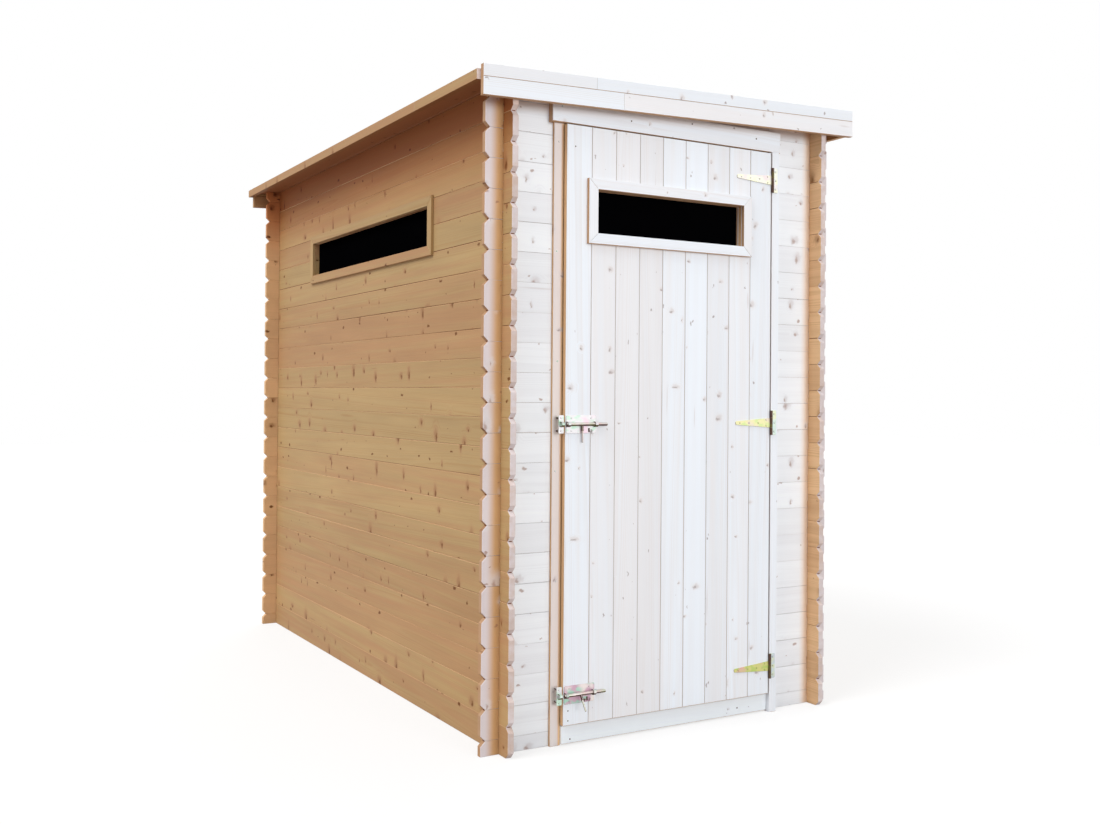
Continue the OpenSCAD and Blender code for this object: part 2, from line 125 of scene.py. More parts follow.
class ShedColours(bpy.types.PropertyGroup):
    """Colours of the boards and fittings"""
    tan: colour("Side boards", "Spruce of the side and back walls", 186, 156, 110)
    tan_late: colour("Side grain", "Late wood of the side boards", 165, 118, 68)
    tan_red: colour("Side streaks", "Redder streaks in the side boards", 183, 139, 100)
    # Painted shade: eaves_shade darkens the side and back boards just below the roof, where its
    # overhang shades them.
    eaves_shade: colour("Eaves", "Tint of the boards just below the roof", 225, 180, 150)
    # Painted shade: soffit is a darker copy of the tan for the roof boards' undersides, which the
    # roof itself shades.
    soffit: colour("Soffit", "Darker undersides of the roof boards", 149, 95, 59)
    # Painted front light: pale, pale_late, pale_red, fascia, wall, wall_late, jamb and sill are
    # lit copies of the tan spruce, for the front's faces that look along Y. sill is a cooler,
    # lighter copy, and jamb a warmer, darker one with some painted shade in it.
    pale: colour("Front boards", "Pale spruce of the front and the door", 239, 245, 252)
    pale_late: colour("Front grain", "Late wood of the front boards", 222, 217, 215)
    pale_red: colour("Front streaks", "Redder streaks in the front boards", 236, 230, 228)
    fascia: colour("Fascia", "Pale spruce of the fascias", 235, 240, 246)
    # Painted shade: front_eaves_shade darkens the front just below the fascia, which shades it.
    front_eaves_shade: colour("Front eaves", "Tint of the front just below the roof", 255, 229, 210)
    wall: colour("Front wall", "Pale spruce of the front wall", 246, 250, 254)
    wall_late: colour("Front wall grain", "Late wood of the front wall", 229, 231, 236)
    pale_groove: colour("Front joints", "Shaded joints between the pale boards", 208, 206, 209)
    jamb: colour("Left jamb", "Warm white wood of the left jamb", 237, 229, 224)
    sill: colour("Sill", "Cool white wood of the sill", 244, 251, 255)
    # Painted front light: ends is a lit copy of the tan spruce for the boards' cut ends, which
    # look along Y.
    ends: colour("Board ends", "Cut ends of the side boards", 219, 210, 212)
    edges: colour("Board edges", "Edges of the front boards and frames", 190, 153, 121)
    # Painted light and shade: lit is a lighter copy of the tan spruce, painted light on upward
    # edges, on faces in narrow shade and on the back wall's ends; on the pale front wall and left
    # jamb it fades in as painted shade.
    lit: colour("Inner edges", "Boards that stick out beside the front wall", 226, 186, 142)
    # Painted shade: corner, with tan and lit, fades into the front wall beside the front corners,
    # where the side walls' ends shade it.
    corner: colour("Corner", "Boards beside the front left corner", 200, 158, 111)
    # Painted shade: notch is a dark copy of the tan for the boards' lower edges, which look down
    # into shade.
    notch: colour("Lower edges", "Dark lower edges of the side boards", 126, 76, 30)
    # Painted shade: groove darkens the tongues deep in the wall boards' joints, which lie in
    # shade.
    groove: colour("Grooves", "Dark wood deep in the joints", 108, 56, 22)
    knots: colour("Knots", "Knots in the side boards", 106, 58, 10)
    # pale_knots and wall_knots are the knots in those lit copies, so they are painted front light
    # as well.
    pale_knots: colour("Front knots", "Knots in the front boards", 140, 118, 114)
    wall_knots: colour("Front wall knots", "Knots in the front wall's boards", 150, 106, 82)
    treated: colour("Bearers", "Treated wood of the floor bearers", 150, 152, 110)
    pane: colour("Panes", "Dark window panes", 3, 3, 4)
    # Partly painted shade: tarnish is the dark metal on the fittings' faces that look down or to
    # the left, where shade falls, and on their dark small parts and nails.
    tarnish: colour("Tarnish", "Dark undersides of the metal fittings", 74, 46, 34)
    paper: colour("Floor", "Studio floor and backdrop", 255, 255, 255)


class ShedStudio(bpy.types.PropertyGroup):
    """Light and camera of the studio"""
    ambient: share("Ambient", "Strength of the even light from all round", 0.52)
    side_light: share("Side light", "Light that the side lamp adds to the left wall", 0.455)
    front_light: share("Front light", "Light that the front lamp adds to the front wall", 0.465)
    back_light: share("Back light", "Light that the back lamp adds to the far walls", 0.28)
    shadow: share("Floor shadow", "How much of the floor's light follows the lamps", 0.30)
    lens: FloatProperty(name="Lens", description="Focal length of the camera",
                        default=38.05, min=10, max=200, subtype="DISTANCE_CAMERA")


def sizes():
    return bpy.context.scene.shed_sizes


def colours():
    return bpy.context.scene.shed_colours


# Materials ----------------------------------------------------------------

class Graph:
    """A tree of shader nodes. Its calls add nodes to it."""

    def __init__(self, tree):
        self.tree = tree

    def feed(self, socket, value):
        if isinstance(value, bpy.types.NodeSocket):
            self.tree.links.new(value, socket)
        else:
            socket.default_value = value

    def node(self, kind, inputs=(), **settings):
        node = self.tree.nodes.new("ShaderNode" + kind)
        for key, value in settings.items():
            setattr(node, key, value)
        for key, value in dict(inputs).items():
            self.feed(node.inputs[key], value)
        return node

    def math(self, operation, *values):
        return self.node("Math", dict(enumerate(values)), operation=operation).outputs[0]


class Finish(Graph):
    """One material. Its calls add nodes and return their output sockets."""

    def __init__(self, name):
        self.material = bpy.data.materials.new(name)
        self.material.use_nodes = True
        super().__init__(self.material.node_tree)
        self.surface = self.tree.nodes["Principled BSDF"]

    def vector(self, operation, *values):
        node = self.node("VectorMath", dict(enumerate(values)), operation=operation)
        return node.outputs["Value" if operation == "LENGTH" else "Vector"]

    def scaled(self, vector, factor):
        return self.node("VectorMath", {0: vector, "Scale": factor}, operation="SCALE").outputs[0]

    def ramp(self, value, start, end, first=0.0, last=1.0):
        """A smooth step from first to last as value goes from start to end."""
        inputs = {"Value": value, 1: start, 2: end, 3: first, 4: last}
        return self.node("MapRange", inputs, interpolation_type="SMOOTHSTEP").outputs[0]

    def noise(self, vector, scale, detail, rough=0.5):
        """Noise from -0.5 to 0.5 whose grains are 1 / scale long on each axis."""
        stretched = self.vector("MULTIPLY", vector, scale)
        inputs = {"Vector": stretched, "Scale": 1.0, "Detail": detail, "Roughness": rough}
        return self.math("SUBTRACT", self.node("TexNoise", inputs).outputs[0], 0.5)

    def mix(self, factor, first, second):
        inputs = {0: factor, 6: as_rgba(first), 7: as_rgba(second)}
        return self.node("Mix", inputs, data_type="RGBA").outputs[2]

    def bump(self, height, distance, strength):
        inputs = {"Height": height, "Distance": distance, "Strength": strength}
        self.feed(self.surface.inputs["Normal"], self.node("Bump", inputs).outputs[0])

    def settle(self, base, roughness, **plain):
        self.feed(self.surface.inputs["Base Color"], base)
        self.feed(self.surface.inputs["Roughness"], roughness)
        for key, value in plain.items():
            self.surface.inputs[key.replace("_", " ")].default_value = value
        return self.material


def as_rgba(value):
    return value if isinstance(value, bpy.types.NodeSocket) else (*value, 1.0)


def scattered(f, flat, shift, cell, kept_share, along, across):
    """Spots scattered over a board: the offset from a spot in half sizes, and if it is kept."""
    moved = f.vector("ADD", flat, shift)
    cells = f.node("TexVoronoi", {"Vector": moved, "Scale": 1 / cell},
                   voronoi_dimensions="2D", feature="F1")
    chances = f.node("SeparateColor", {0: cells.outputs["Color"]}).outputs
    size = f.node("CombineXYZ", {
        0: f.math("MULTIPLY_ADD", chances[2], along[1] - along[0], along[0]),
        1: f.math("MULTIPLY_ADD", chances[0], across[1] - across[0], across[0]), 2: 1.0})
    offset = f.vector("SUBTRACT", moved, cells.outputs["Position"])
    kept = f.math("LESS_THAN", chances[1], kept_share)
    return f.vector("DIVIDE", offset, size.outputs[0]), kept


# Spots in the wood: where their pattern starts, the size of its cells, the share of cells
# with a spot, and half of a spot's length and width, from the least to the most
KNOTS = (((7.3, 2.9, 0), 0.165, 0.55, (0.010, 0.023), (0.011, 0.031)),
         ((1.3, 6.1, 0), 0.105, 0.30, (0.006, 0.015), (0.006, 0.017)))
PIN_KNOTS = (((0.9, 4.4, 0), 0.130, 0.42, (0.0060, 0.0125), (0.0035, 0.0070)),
             ((3.7, 8.1, 0), 0.080, 0.25, (0.0028, 0.0060), (0.0018, 0.0032)))
PIN_DEPTHS = (1.0, 0.8)  # how dark each kind of pin knot is
RESIN = ((5.9, 3.3, 0), 0.24, 0.65, (0.02, 0.09), (0.0015, 0.0042))


def knots_in(f, flat, amount, size):
    """Masks of the reddish wood round the knots, of the knots, and of their dark hearts.

    size scales the knots along and across the board.
    """
    def spots(shift, cell, kept_share, along, across):
        return scattered(f, flat, shift, cell, kept_share * amount,
                         [half * size[0] for half in along],
                         [half * size[1] for half in across])

    halo = knot = heart = 0.0
    for kind in KNOTS:
        spot, kept = spots(*kind)
        level = f.vector("LENGTH", spot)
        halo = f.math("MAXIMUM", f.math("MULTIPLY", f.ramp(level, 0.5, 2.4, 1.0, 0.0), kept), halo)
        fill = f.math("MULTIPLY", f.ramp(level, 0.3, 1.2, 1.0, 0.0), kept)
        knot = f.math("MAXIMUM", fill, knot)
        aside = f.vector("LENGTH", f.vector("MULTIPLY_ADD", spot, (2.4, 1.6, 1), (0.7, 0.6, 0)))
        dark = f.math("MULTIPLY", f.ramp(aside, 0.2, 1.3, 0.9, 0.0), kept)
        heart = f.math("MAXIMUM", dark, heart)
    for kind, depth in zip(PIN_KNOTS, PIN_DEPTHS):
        dot, kept = spots(*kind)
        mask = f.ramp(f.vector("LENGTH", dot), 0.45, 1.2, depth, 0.0)
        heart = f.math("MAXIMUM", heart, f.math("MULTIPLY", mask, kept))
    return halo, knot, heart


def resin_in(f, flat, amount, depth):
    """A mask of the thin streaks of resin."""
    shift, cell, kept_share, along, across = RESIN
    streak, kept = scattered(f, flat, shift, cell, kept_share * amount, along, across)
    resin = f.ramp(f.vector("LENGTH", streak), 0.2, 1.1, 0.62 * depth, 0.0)
    return f.math("MULTIPLY", resin, kept)


RING_WIDTH = 0.0029  # one year's growth


def rings_in(f, grain, halo):
    """A mask of the late wood in each growth ring, which bends round the knots."""
    wander = f.noise(grain, (1.0, 6, 6), 2.0)
    from_pith = f.vector("LENGTH", f.vector("MULTIPLY", grain, (0, 1, 1)))
    bent = f.math("MULTIPLY_ADD", wander, 0.010, from_pith)
    bent = f.math("MULTIPLY_ADD", halo, 0.006, bent)
    ring = f.math("FRACT", f.math("MULTIPLY", bent, 1 / RING_WIDTH))
    return f.math("MULTIPLY", f.ramp(ring, 0.25, 0.92), f.ramp(ring, 0.94, 1.0, 1.0, 0.0))


def faded(f, shade, x, fades):
    """Turns a shade to other colours between the places that the fades give."""
    for none, full, most, stop, other in fades:
        left_of = f.math("LESS_THAN", x, stop)
        here = left_of if full < stop else f.math("SUBTRACT", 1.0, left_of)
        amount = f.math("MULTIPLY", f.ramp(x, none, full, 0.0, most), here)
        shade = f.mix(amount, shade, other)
    return shade


def painted_eaves_shade(f, shade, place, tint, start, full):
    """Paints shade below the roof's slope: a tint from the depth start to the depth full."""
    at = Levels()
    depth = f.math("MULTIPLY_ADD", place[0], at.slope, at.eave - at.slope * at.x_left)
    depth = f.math("SUBTRACT", depth, place[2])
    tinted = f.node("Mix", {0: 1.0, 6: shade, 7: as_rgba(tint)}, data_type="RGBA",
                    blend_type="MULTIPLY").outputs[2]
    return f.mix(f.ramp(depth, start, full), shade, tinted)


def wood(name, base, late, red, knot, rings=0.20, fibre=0.15, blotch=0.16, spread=0.05,
         hue=0.85, stripe=1.2, knots=1.0, knot_size=(1, 1), knot_depth=0.9, fades=(),
         eaves_shade=None):
    """Planed spruce whose grain follows each board's own length.

    rings, fibre, blotch and spread say how much the growth rings, the fine fibres, wide
    clouds and each board's own tone change the shade. hue and stripe say how much of the
    wood turns to the colour red, and in how strong stripes. knots is the amount of knots.
    Each of the fades is (none, full, most, stop, colour): places along X between which the
    wood turns to that colour, by how much, and where the fade stops; they hold painted light
    and shade. eaves_shade is painted shade: a tint for the boards just below the roof, and
    how far below it starts and is full.
    """
    f = Finish(name)
    grain = f.node("Attribute", attribute_name="grain").outputs["Vector"]
    tone = f.node("Attribute", attribute_name="tone").outputs["Fac"]
    place = f.node("SeparateXYZ", {0: f.node("TexCoord").outputs["Object"]}).outputs
    flat = f.vector("MULTIPLY", grain, (1, 1, 0))
    resin = resin_in(f, flat, knots, knot_depth)
    jog = f.node("TexNoise", {"Vector": flat, "Scale": 85.0, "Detail": 2.0}).outputs["Color"]
    flat = f.vector("ADD", flat, f.scaled(f.vector("SUBTRACT", jog, (0.5, 0.5, 0.5)), 0.014))
    flat = f.vector("MULTIPLY", flat, (1, 1, 0))
    halo, knotty, dark = knots_in(f, flat, knots, knot_size)
    ring = rings_in(f, grain, halo)

    # How light the wood is, from fine fibres to the whole board
    band = f.noise(f.vector("MULTIPLY", grain, (0.35, 1, 1)), (1, 60, 60), 1.0)
    streaks = f.noise(grain, (7, 480, 480), 3.0, 0.65)
    clouds = f.noise(grain, (2.2, 16, 16), 2.0)
    stripes = f.noise(f.vector("ADD", grain, (5.1, 0.7, 0.2)), (1.2, 40, 40), 2.0)
    light = f.math("MULTIPLY_ADD", streaks, fibre, 1.0)
    light = f.math("MULTIPLY_ADD", clouds, blotch, light)
    light = f.math("MULTIPLY_ADD", tone, spread, light)

    # Its colours, from the rings to the knots
    late_share = f.math("MULTIPLY", ring, f.math("MULTIPLY_ADD", band, 1.0, rings))
    shade = f.mix(late_share, base, late)
    warm = f.math("FRACT", f.math("MULTIPLY", tone, 3.7))
    warm = f.math("MULTIPLY_ADD", stripes, stripe, f.math("MULTIPLY", warm, 0.75))
    shade = f.mix(f.math("MULTIPLY", f.ramp(warm, 0.10, 0.85), hue), shade, red)
    shade = f.scaled(faded(f, shade, place[0], fades), light)
    around = f.math("MULTIPLY", halo, halo)
    shade = f.mix(f.math("MULTIPLY", around, 0.45 * knot_depth), shade, red)
    shade = f.mix(resin, shade, f.mix(0.35, red, knot))
    shade = f.mix(f.math("MULTIPLY", knotty, 0.62 * knot_depth), shade, f.mix(0.38, red, knot))
    shade = f.mix(f.math("MULTIPLY", dark, 0.88 * knot_depth), shade, knot)
    if eaves_shade is not None:
        shade = painted_eaves_shade(f, shade, place, *eaves_shade)

    height = f.math("MULTIPLY_ADD", ring, 0.35, streaks)
    height = f.math("MULTIPLY_ADD", dark, -0.8, height)
    f.bump(height, 0.00025, 0.6)
    rough = f.math("MULTIPLY_ADD", streaks, 0.18, 0.6)
    return f.settle(shade, rough, Specular_IOR_Level=0.2)


def plated(name, base, tints, roughness=0.38, metallic=0.45):
    """Plated steel with a faint rainbow bloom and fine scratches."""
    f = Finish(name)
    patch = 38.0  # how many patches of bloom lie along a metre
    place = f.node("TexCoord").outputs["Object"]
    patches = f.noise(place, (patch, patch, patch * 1.6), 1.0)
    drift = f.noise(f.vector("ADD", place, (3.1, 1.7, 0.4)), (patch * 0.7,) * 3, 1.0)
    shade = f.mix(f.ramp(patches, -0.04, 0.16), base, tints[0])
    shade = f.mix(f.ramp(drift, 0.0, 0.20), shade, tints[1])
    scratches = f.noise(place, (260, 900, 2200), 2.0)
    shade = f.scaled(shade, f.math("MULTIPLY_ADD", scratches, 0.20, 1.0))
    f.bump(scratches, 0.00006, 0.5)
    rough = f.math("MULTIPLY_ADD", patches, 0.25, roughness)
    return f.settle(shade, rough, Metallic=metallic)


def dark_pane(name, base):
    """A black pane with a trace of dust."""
    f = Finish(name)
    place = f.node("TexCoord").outputs["Object"]
    dust = f.noise(place, (9, 9, 9), 3.0)
    shade = f.mix(f.ramp(dust, 0.0, 0.4, 0.0, 0.3), base, srgb(9, 8, 9))
    rough = f.math("MULTIPLY_ADD", dust, 0.2, 0.35)
    return f.settle(shade, rough, Specular_IOR_Level=0.0)


# Each plating's steel and the two colours of its bloom, as screen levels
PLATINGS = {
    "top_strap": ((240, 238, 226), (246, 246, 214), (236, 222, 222)),
    "middle_strap": ((234, 230, 176), (212, 226, 156), (234, 214, 216)),
    "bottom_strap": ((204, 202, 126), (178, 196, 104), (214, 172, 156)),
    "top_plate": ((236, 238, 232), (240, 240, 210), (232, 222, 226)),
    "middle_plate": ((216, 232, 222), (228, 232, 198), (206, 230, 226)),
    "bottom_plate": ((196, 208, 210), (206, 214, 186), (200, 196, 210)),
    "upper_bolt": ((222, 220, 222), (190, 218, 200), (228, 204, 216)),
    "lower_bolt": ((198, 160, 178), (160, 200, 182), (226, 216, 212)),
    "rod_plating": ((218, 210, 206), (206, 208, 190), (224, 196, 194)),
}

# How each kind of wood differs from the plainest one
PALE = dict(rings=0.16, fibre=0.055, blotch=0.055, spread=0.024, hue=0.5, stripe=0.9,
            knots=0.8, knot_size=(0.6, 0.5), knot_depth=0.72)
TAN = dict(knots=0.72, knot_depth=1.05, fibre=0.24, blotch=0.25, spread=0.055)
CLEAR = dict(knots=0.0)

# Each wood's base, late wood, streaks and knots, and how it is grown
WOODS = {
    "side_spruce": ("tan tan_late tan_red knots", TAN),
    "back_spruce": ("tan tan_late tan_red knots", TAN),
    "roof_spruce": ("tan tan_late tan_red knots", TAN),
    # soffit_spruce is painted shade on faces that look down under the roof.
    "soffit_spruce": ("soffit knots soffit knots", {}),
    # The lit_ woods are painted front light: lit copies of the tan spruce for faces that look
    # along Y.
    "front_spruce": ("pale pale_late pale_red pale_knots", PALE),
    "fascia_spruce": ("fascia pale_late pale_red pale_knots",
                      {**PALE, "knot_size": (0.5, 0.7)}),
    "wall_spruce": ("wall wall_late wall_late wall_knots",
                    {**PALE, "knots": 1.0, "knot_size": (0.9, 0.85)}),
    "sill_spruce": ("sill pale pale pale_knots", PALE),
    "jamb_spruce": ("jamb ends ends pale_knots", PALE),
    # cut_ends is painted front light on the boards' cut ends.
    "cut_ends": ("ends edges edges knots", {**CLEAR, "rings": 0.35, "hue": 0.4}),
    "board_edges": ("edges tan_late tan_red knots", {"knots": 0.4, "hue": 0.5}),
    # lit_edges is painted light: a lighter copy of the tan spruce.
    "lit_edges": ("lit tan_late tan_red knots", {"knots": 0.5, "hue": 0.5}),
    # notches is painted shade on the faces of the left batten that look down.
    "notches": ("notch knots tan_red knots", {**CLEAR, "hue": 0.3}),
    # seams is painted shade and highlight on the side boards' lower edges: dark shade in the
    # joints, with lighter streaks as painted highlights.
    "seams": ("notch groove lit knots", {**CLEAR, "hue": 0.8, "stripe": 2.4}),
    # groove_wood is painted shade on the tongues in the walls' joints.
    "groove_wood": ("groove knots knots knots", {**CLEAR, "hue": 0.3}),
    # pale_grooves is painted shade in the door's V joints and on the front wall boards' lower
    # faces.
    "pale_grooves": ("pale_groove edges pale_late pale_knots",
                     {**CLEAR, "rings": 0.05, "hue": 0.5, "stripe": 2.0}),
    "treated_pine": ("treated tan_late tan knots", {"rings": 0.6, "knots": 0.5}),
}


def make_finish(name):
    c = colours()
    if name in WOODS:
        palette, growth = WOODS[name]
        return wood(name, *(getattr(c, shade) for shade in palette.split()), **growth,
                    **painted_light_and_shade(name))
    if name in PLATINGS:
        base, *tints = [srgb(*levels) for levels in PLATINGS[name]]
        return plated(name, base, tints)
    # Painted shade and tarnish on the fittings' lower and left faces and dark parts.
    if name == "tarnished_plating":
        return plated(name, c.tarnish, (srgb(92, 84, 34), srgb(62, 24, 24)), 0.5, metallic=0.2)
    if name == "pane":
        return dark_pane(name, c.pane)
    raise ValueError("no finish is called " + name)


def painted_light_and_shade(name):
    """Painted light and shade for each wood: painted shade below the roof, painted light on the
    back wall's ends past the left corner, a painted shadow of the door leaf on the left jamb, and
    painted shade beside the front corners.
    """
    c = colours()
    side_eaves_shade = (c.eaves_shade, 0.34, 0.07)
    front_eaves_shade = (c.front_eaves_shade, 0.085, 0.04)
    if name == "side_spruce":
        return {"eaves_shade": side_eaves_shade}
    if name == "back_spruce":
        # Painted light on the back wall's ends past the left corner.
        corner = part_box("left_wall")[0].x
        return {"eaves_shade": side_eaves_shade,
                "fades": [(corner + 0.004, corner - 0.004, 1.0, corner + 0.1, c.lit)]}
    if name == "front_spruce":
        return {"eaves_shade": front_eaves_shade}
    if name == "wall_spruce":
        return {"eaves_shade": front_eaves_shade, "fades": painted_corner_fades()}
    if name == "jamb_spruce":
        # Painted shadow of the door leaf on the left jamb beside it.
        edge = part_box("left_jamb")[1].x
        return {"fades": [(edge - 0.013, edge - 0.004, 1.0, edge + 0.1, c.lit)]}
    return {}


def painted_corner_fades():
    """Painted shade on the front wall's boards beside the ends of the side walls, which shade
    them, and the lit ends' colour past them.
    """
    c = colours()
    at = Levels()
    low, high, thick = at.x_left, at.x_right, at.thick
    left, right = low + thick / 2, high - thick / 2
    return ((left, low, 1.0, left, c.ends),
            (right, high, 1.0, right, c.ends),
            (low - 0.046, low - 0.013, 1.0, left, c.corner),
            (low + thick + 0.026, low + thick, 0.5, left, c.tan),
            (high - thick - 0.039, high - thick - 0.002, 0.75, right, c.lit),
            (high + 0.046, high + 0.012, 1.0, right, c.tan))


FINISHES = {}


def finish(name):
    """The material of that name, made the first time it is asked for."""
    if name not in FINISHES:
        FINISHES[name] = make_finish(name)
    return FINISHES[name]


# Boards and pieces --------------------------------------------------------

AXES = {"x": (1, 0, 0), "y": (0, 1, 0), "z": (0, 0, 1)}


def lay(order):
    """A matrix that lays a board's length, width and thickness along three axes."""
    return Matrix([AXES[axis] for axis in order]).transposed().to_4x4()


def extents(order, low, high):
    """A box's two ends along a board's length, width and thickness."""
    return [(getattr(low, axis), getattr(high, axis)) for axis in order]


def new_mesh():
    bm = bmesh.new()
    bm.verts.layers.float_vector.new("grain")
    bm.verts.layers.float.new("tone")
    return bm


def everything(bm):
    return bm.verts[:] + bm.edges[:] + bm.faces[:]


def split(bm, point, normal, clear=False):
    """Cuts the mesh along a plane, and drops what is past it if clear is set."""
    bmesh.ops.bisect_plane(bm, geom=everything(bm), dist=NEAR, plane_co=point,
                           plane_no=normal, clear_outer=clear)


def points_of(made):
    return [item for item in made["geom"] if isinstance(item, bmesh.types.BMVert)]


def blank(u, v):
    """A flat rectangle from u[0], v[0] to u[1], v[1]."""
    bm = new_mesh()
    bmesh.ops.create_grid(bm, x_segments=1, y_segments=1, size=0.5)
    bmesh.ops.scale(bm, vec=(u[1] - u[0], v[1] - v[0], 1), verts=bm.verts)
    bmesh.ops.translate(bm, vec=((u[0] + u[1]) / 2, (v[0] + v[1]) / 2, 0), verts=bm.verts)
    return bm


def cut_out(bm, u, v, rects):
    """Takes rectangles (u0, u1, v0, v1) out of a flat blank."""
    rects = [r for r in rects if r[0] < u[1] - NEAR and r[1] > u[0] + NEAR
             and r[2] < v[1] - NEAR and r[3] > v[0] + NEAR]
    for u0, u1, v0, v1 in rects:
        for value in (u0, u1):
            split(bm, (value, 0, 0), (1, 0, 0))
        for value in (v0, v1):
            split(bm, (0, value, 0), (0, 1, 0))
    for u0, u1, v0, v1 in rects:
        inside = [face for face in bm.faces
                  if u0 < face.calc_center_median().x < u1
                  and v0 < face.calc_center_median().y < v1]
        bmesh.ops.delete(bm, geom=inside, context="FACES")
    if rects:
        bmesh.ops.dissolve_limit(bm, angle_limit=0.01, verts=bm.verts[:], edges=bm.edges[:])


def corner_bevel(bm, corners, size, segments=1):
    """Bevels a flat blank's outline at the given (u, v) corners."""
    found = [vert for vert in bm.verts
             if any(math.dist(vert.co.xy, corner) < 10 * NEAR for corner in corners)]
    if found and size > 0:
        bmesh.ops.bevel(bm, geom=found, offset=size, affect="VERTICES", segments=segments,
                        profile=0.5, material=-1)


def thicken(bm, w):
    """Gives a flat blank its thickness, from w[0] to w[1]."""
    bmesh.ops.translate(bm, vec=(0, 0, w[0]), verts=bm.verts)
    made = bmesh.ops.extrude_face_region(bm, geom=bm.faces[:])
    bmesh.ops.translate(bm, vec=(0, 0, w[1] - w[0]), verts=points_of(made))
    bmesh.ops.recalc_face_normals(bm, faces=bm.faces)


def ease(bm, w, size):
    """Takes the sharp edges off both faces of a board."""
    if size <= 0:
        return
    rims = [edge for edge in bm.edges
            if any(all(abs(vert.co.z - level) < NEAR for vert in edge.verts) for level in w)]
    bmesh.ops.bevel(bm, geom=rims, offset=size, affect="EDGES", segments=1, profile=0.5,
                    material=-1)


class Piece:
    """One object, gathered from boards or metal parts that are shaped one by one."""

    def __init__(self, name):
        self.name = name
        self.rng = random.Random(name)
        self.mesh = bpy.data.meshes.new(name)
        self.bm = new_mesh()

    def take(self, part, place, dark=False):
        """Adds one closed part and uses it up. Dark parts have a finish of their own."""
        for face in part.faces:
            face.material_index = DARK if dark else ALONG_Y
        bmesh.ops.transform(part, matrix=place, verts=part.verts)
        bmesh.ops.recalc_face_normals(part, faces=part.faces)
        part.to_mesh(self.mesh)
        self.bm.from_mesh(self.mesh)
        part.free()

    def board(self, place, u, v, w, cuts=(), corners=(), chamfer=0.0, planes=(), arris=0.001,
              dark=False):
        """A board with its own grain: u is its length, v its width, w its thickness."""
        bm = blank(u, v)
        cut_out(bm, u, v, cuts)
        corner_bevel(bm, corners, chamfer)
        for point, normal in planes:
            split(bm, point, normal, clear=True)
        thicken(bm, w)
        ease(bm, w, arris)
        self.grow(bm, u, v, w)
        self.take(bm, place, dark)

    def grow(self, bm, u, v, w):
        """Notes where each point lies in the log that the board was sawn from."""
        grain = bm.verts.layers.float_vector["grain"]
        tone = bm.verts.layers.float["tone"]
        rng = self.rng
        pith = Vector((rng.uniform(0, 30), rng.uniform(-0.06, 0.06), rng.uniform(0.03, 0.11)))
        heart = Vector((u[0], (v[0] + v[1]) / 2, w[0]))
        shade = rng.uniform(-1, 1)
        drift = rng.uniform(-0.03, 0.03)
        for vert in bm.verts:
            spot = vert.co - heart
            spot.y += drift * spot.x
            vert[grain] = spot + pith
            vert[tone] = shade

    def finish(self, body, slot, finishes, nodes, smooth=False, ends_from=0.0, under=0.6,
               notched=None, grooves=(0.0, 0.0)):
        """Makes the object and gives its faces their finishes.

        Faces along Y that lie nearer to the middle than ends_from are finished as +X.
        Faces count as facing down or up when they lean that way by more than under. On
        boards notched along X (0) or Y (1) the notches are finished as the ends.
        Slanting edges between the two places in grooves, along X, are finished as dark: painted
        shade in the joints.
        """
        bm = self.bm
        for face in bm.faces:
            if face.material_index == DARK:
                continue
            face.material_index = self.way_of(face, ends_from, under, notched, grooves)
            face.smooth = smooth
        if smooth:
            for edge in bm.edges:
                edge.smooth = edge.calc_face_angle(3.0) < 0.7
        bm.to_mesh(self.mesh)
        bm.free()
        obj = bpy.data.objects.new(self.name, self.mesh)
        bpy.context.scene.collection.objects.link(obj)
        finishes = list(finishes)
        if len(finishes) == TO_LEFT:  # left faces have no finish of their own
            finishes.append(finishes[TO_RIGHT])
        if len(finishes) == DARK:  # nor have dark parts
            finishes.append(finishes[ALONG_Y])
        for name in finishes:
            self.mesh.materials.append(finish(name))
        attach(obj, body)
        if nodes:
            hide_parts(*nodes)

    def way_of(self, face, ends_from, under, notched, grooves):
        """Which of the finishes a face takes."""
        n, centre = face.normal, face.calc_center_median()
        if abs(n.z) > under and (notched is None or abs(n[notched]) < 0.5):
            return UP if n.z > 0 else DOWN
        if 0.5 < abs(n.x) < 0.9 and grooves[0] < centre.x < grooves[1]:
            return DARK
        if abs(n.y) >= 0.6:
            return TO_RIGHT if abs(centre.y) < ends_from else ALONG_Y
        if abs(n.x) >= 0.6:
            return TO_RIGHT if n.x > 0 else TO_LEFT
        return UP


# Finishes for faces along Y, along +X, up and down, then along -X where these aren't
# finished as +X, and for dark parts where these aren't finished as faces along Y
# Painted light and shade by the way a face looks: the lit_ finishes and lit_edges are painted
# light, lit copies of the spruce; the shaded_ finishes, seams and notches are painted shade, and
# so is the dark slot of the walls; SHADED_AND_TARNISHED is partly painted shade.
SIDE = ("cut_ends", "side_spruce", "lit_edges", "seams", "side_spruce", "groove_wood")
RIGHT = ("cut_ends", "side_spruce", "lit_edges", "seams", "lit_edges", "groove_wood")
BACK = ("roof_spruce",) * 4
BACK_WALL = ("back_spruce",) * 5 + ("groove_wood",)
FASCIA = ("fascia_spruce", "board_edges", "fascia_spruce", "board_edges")
FRONT = ("front_spruce", "board_edges", "front_spruce", "board_edges")
FRONT_WALL = ("wall_spruce", "board_edges", "wall_spruce", "pale_grooves", "board_edges",
              "groove_wood")
DOOR = ("front_spruce", "board_edges", "front_spruce", "board_edges", "lit_edges",
        "pale_grooves")
ROOF = ("roof_spruce",) * 3 + ("soffit_spruce",)
BATTEN = ("cut_ends", "roof_spruce", "roof_spruce", "notches")
RIGHT_BATTEN = ("cut_ends", "roof_spruce", "roof_spruce", "lit_edges", "lit_edges")
LEFT_JAMB = ("jamb_spruce", "lit_edges", "front_spruce", "board_edges")
RIGHT_JAMB = ("front_spruce",) * 3 + ("board_edges",)
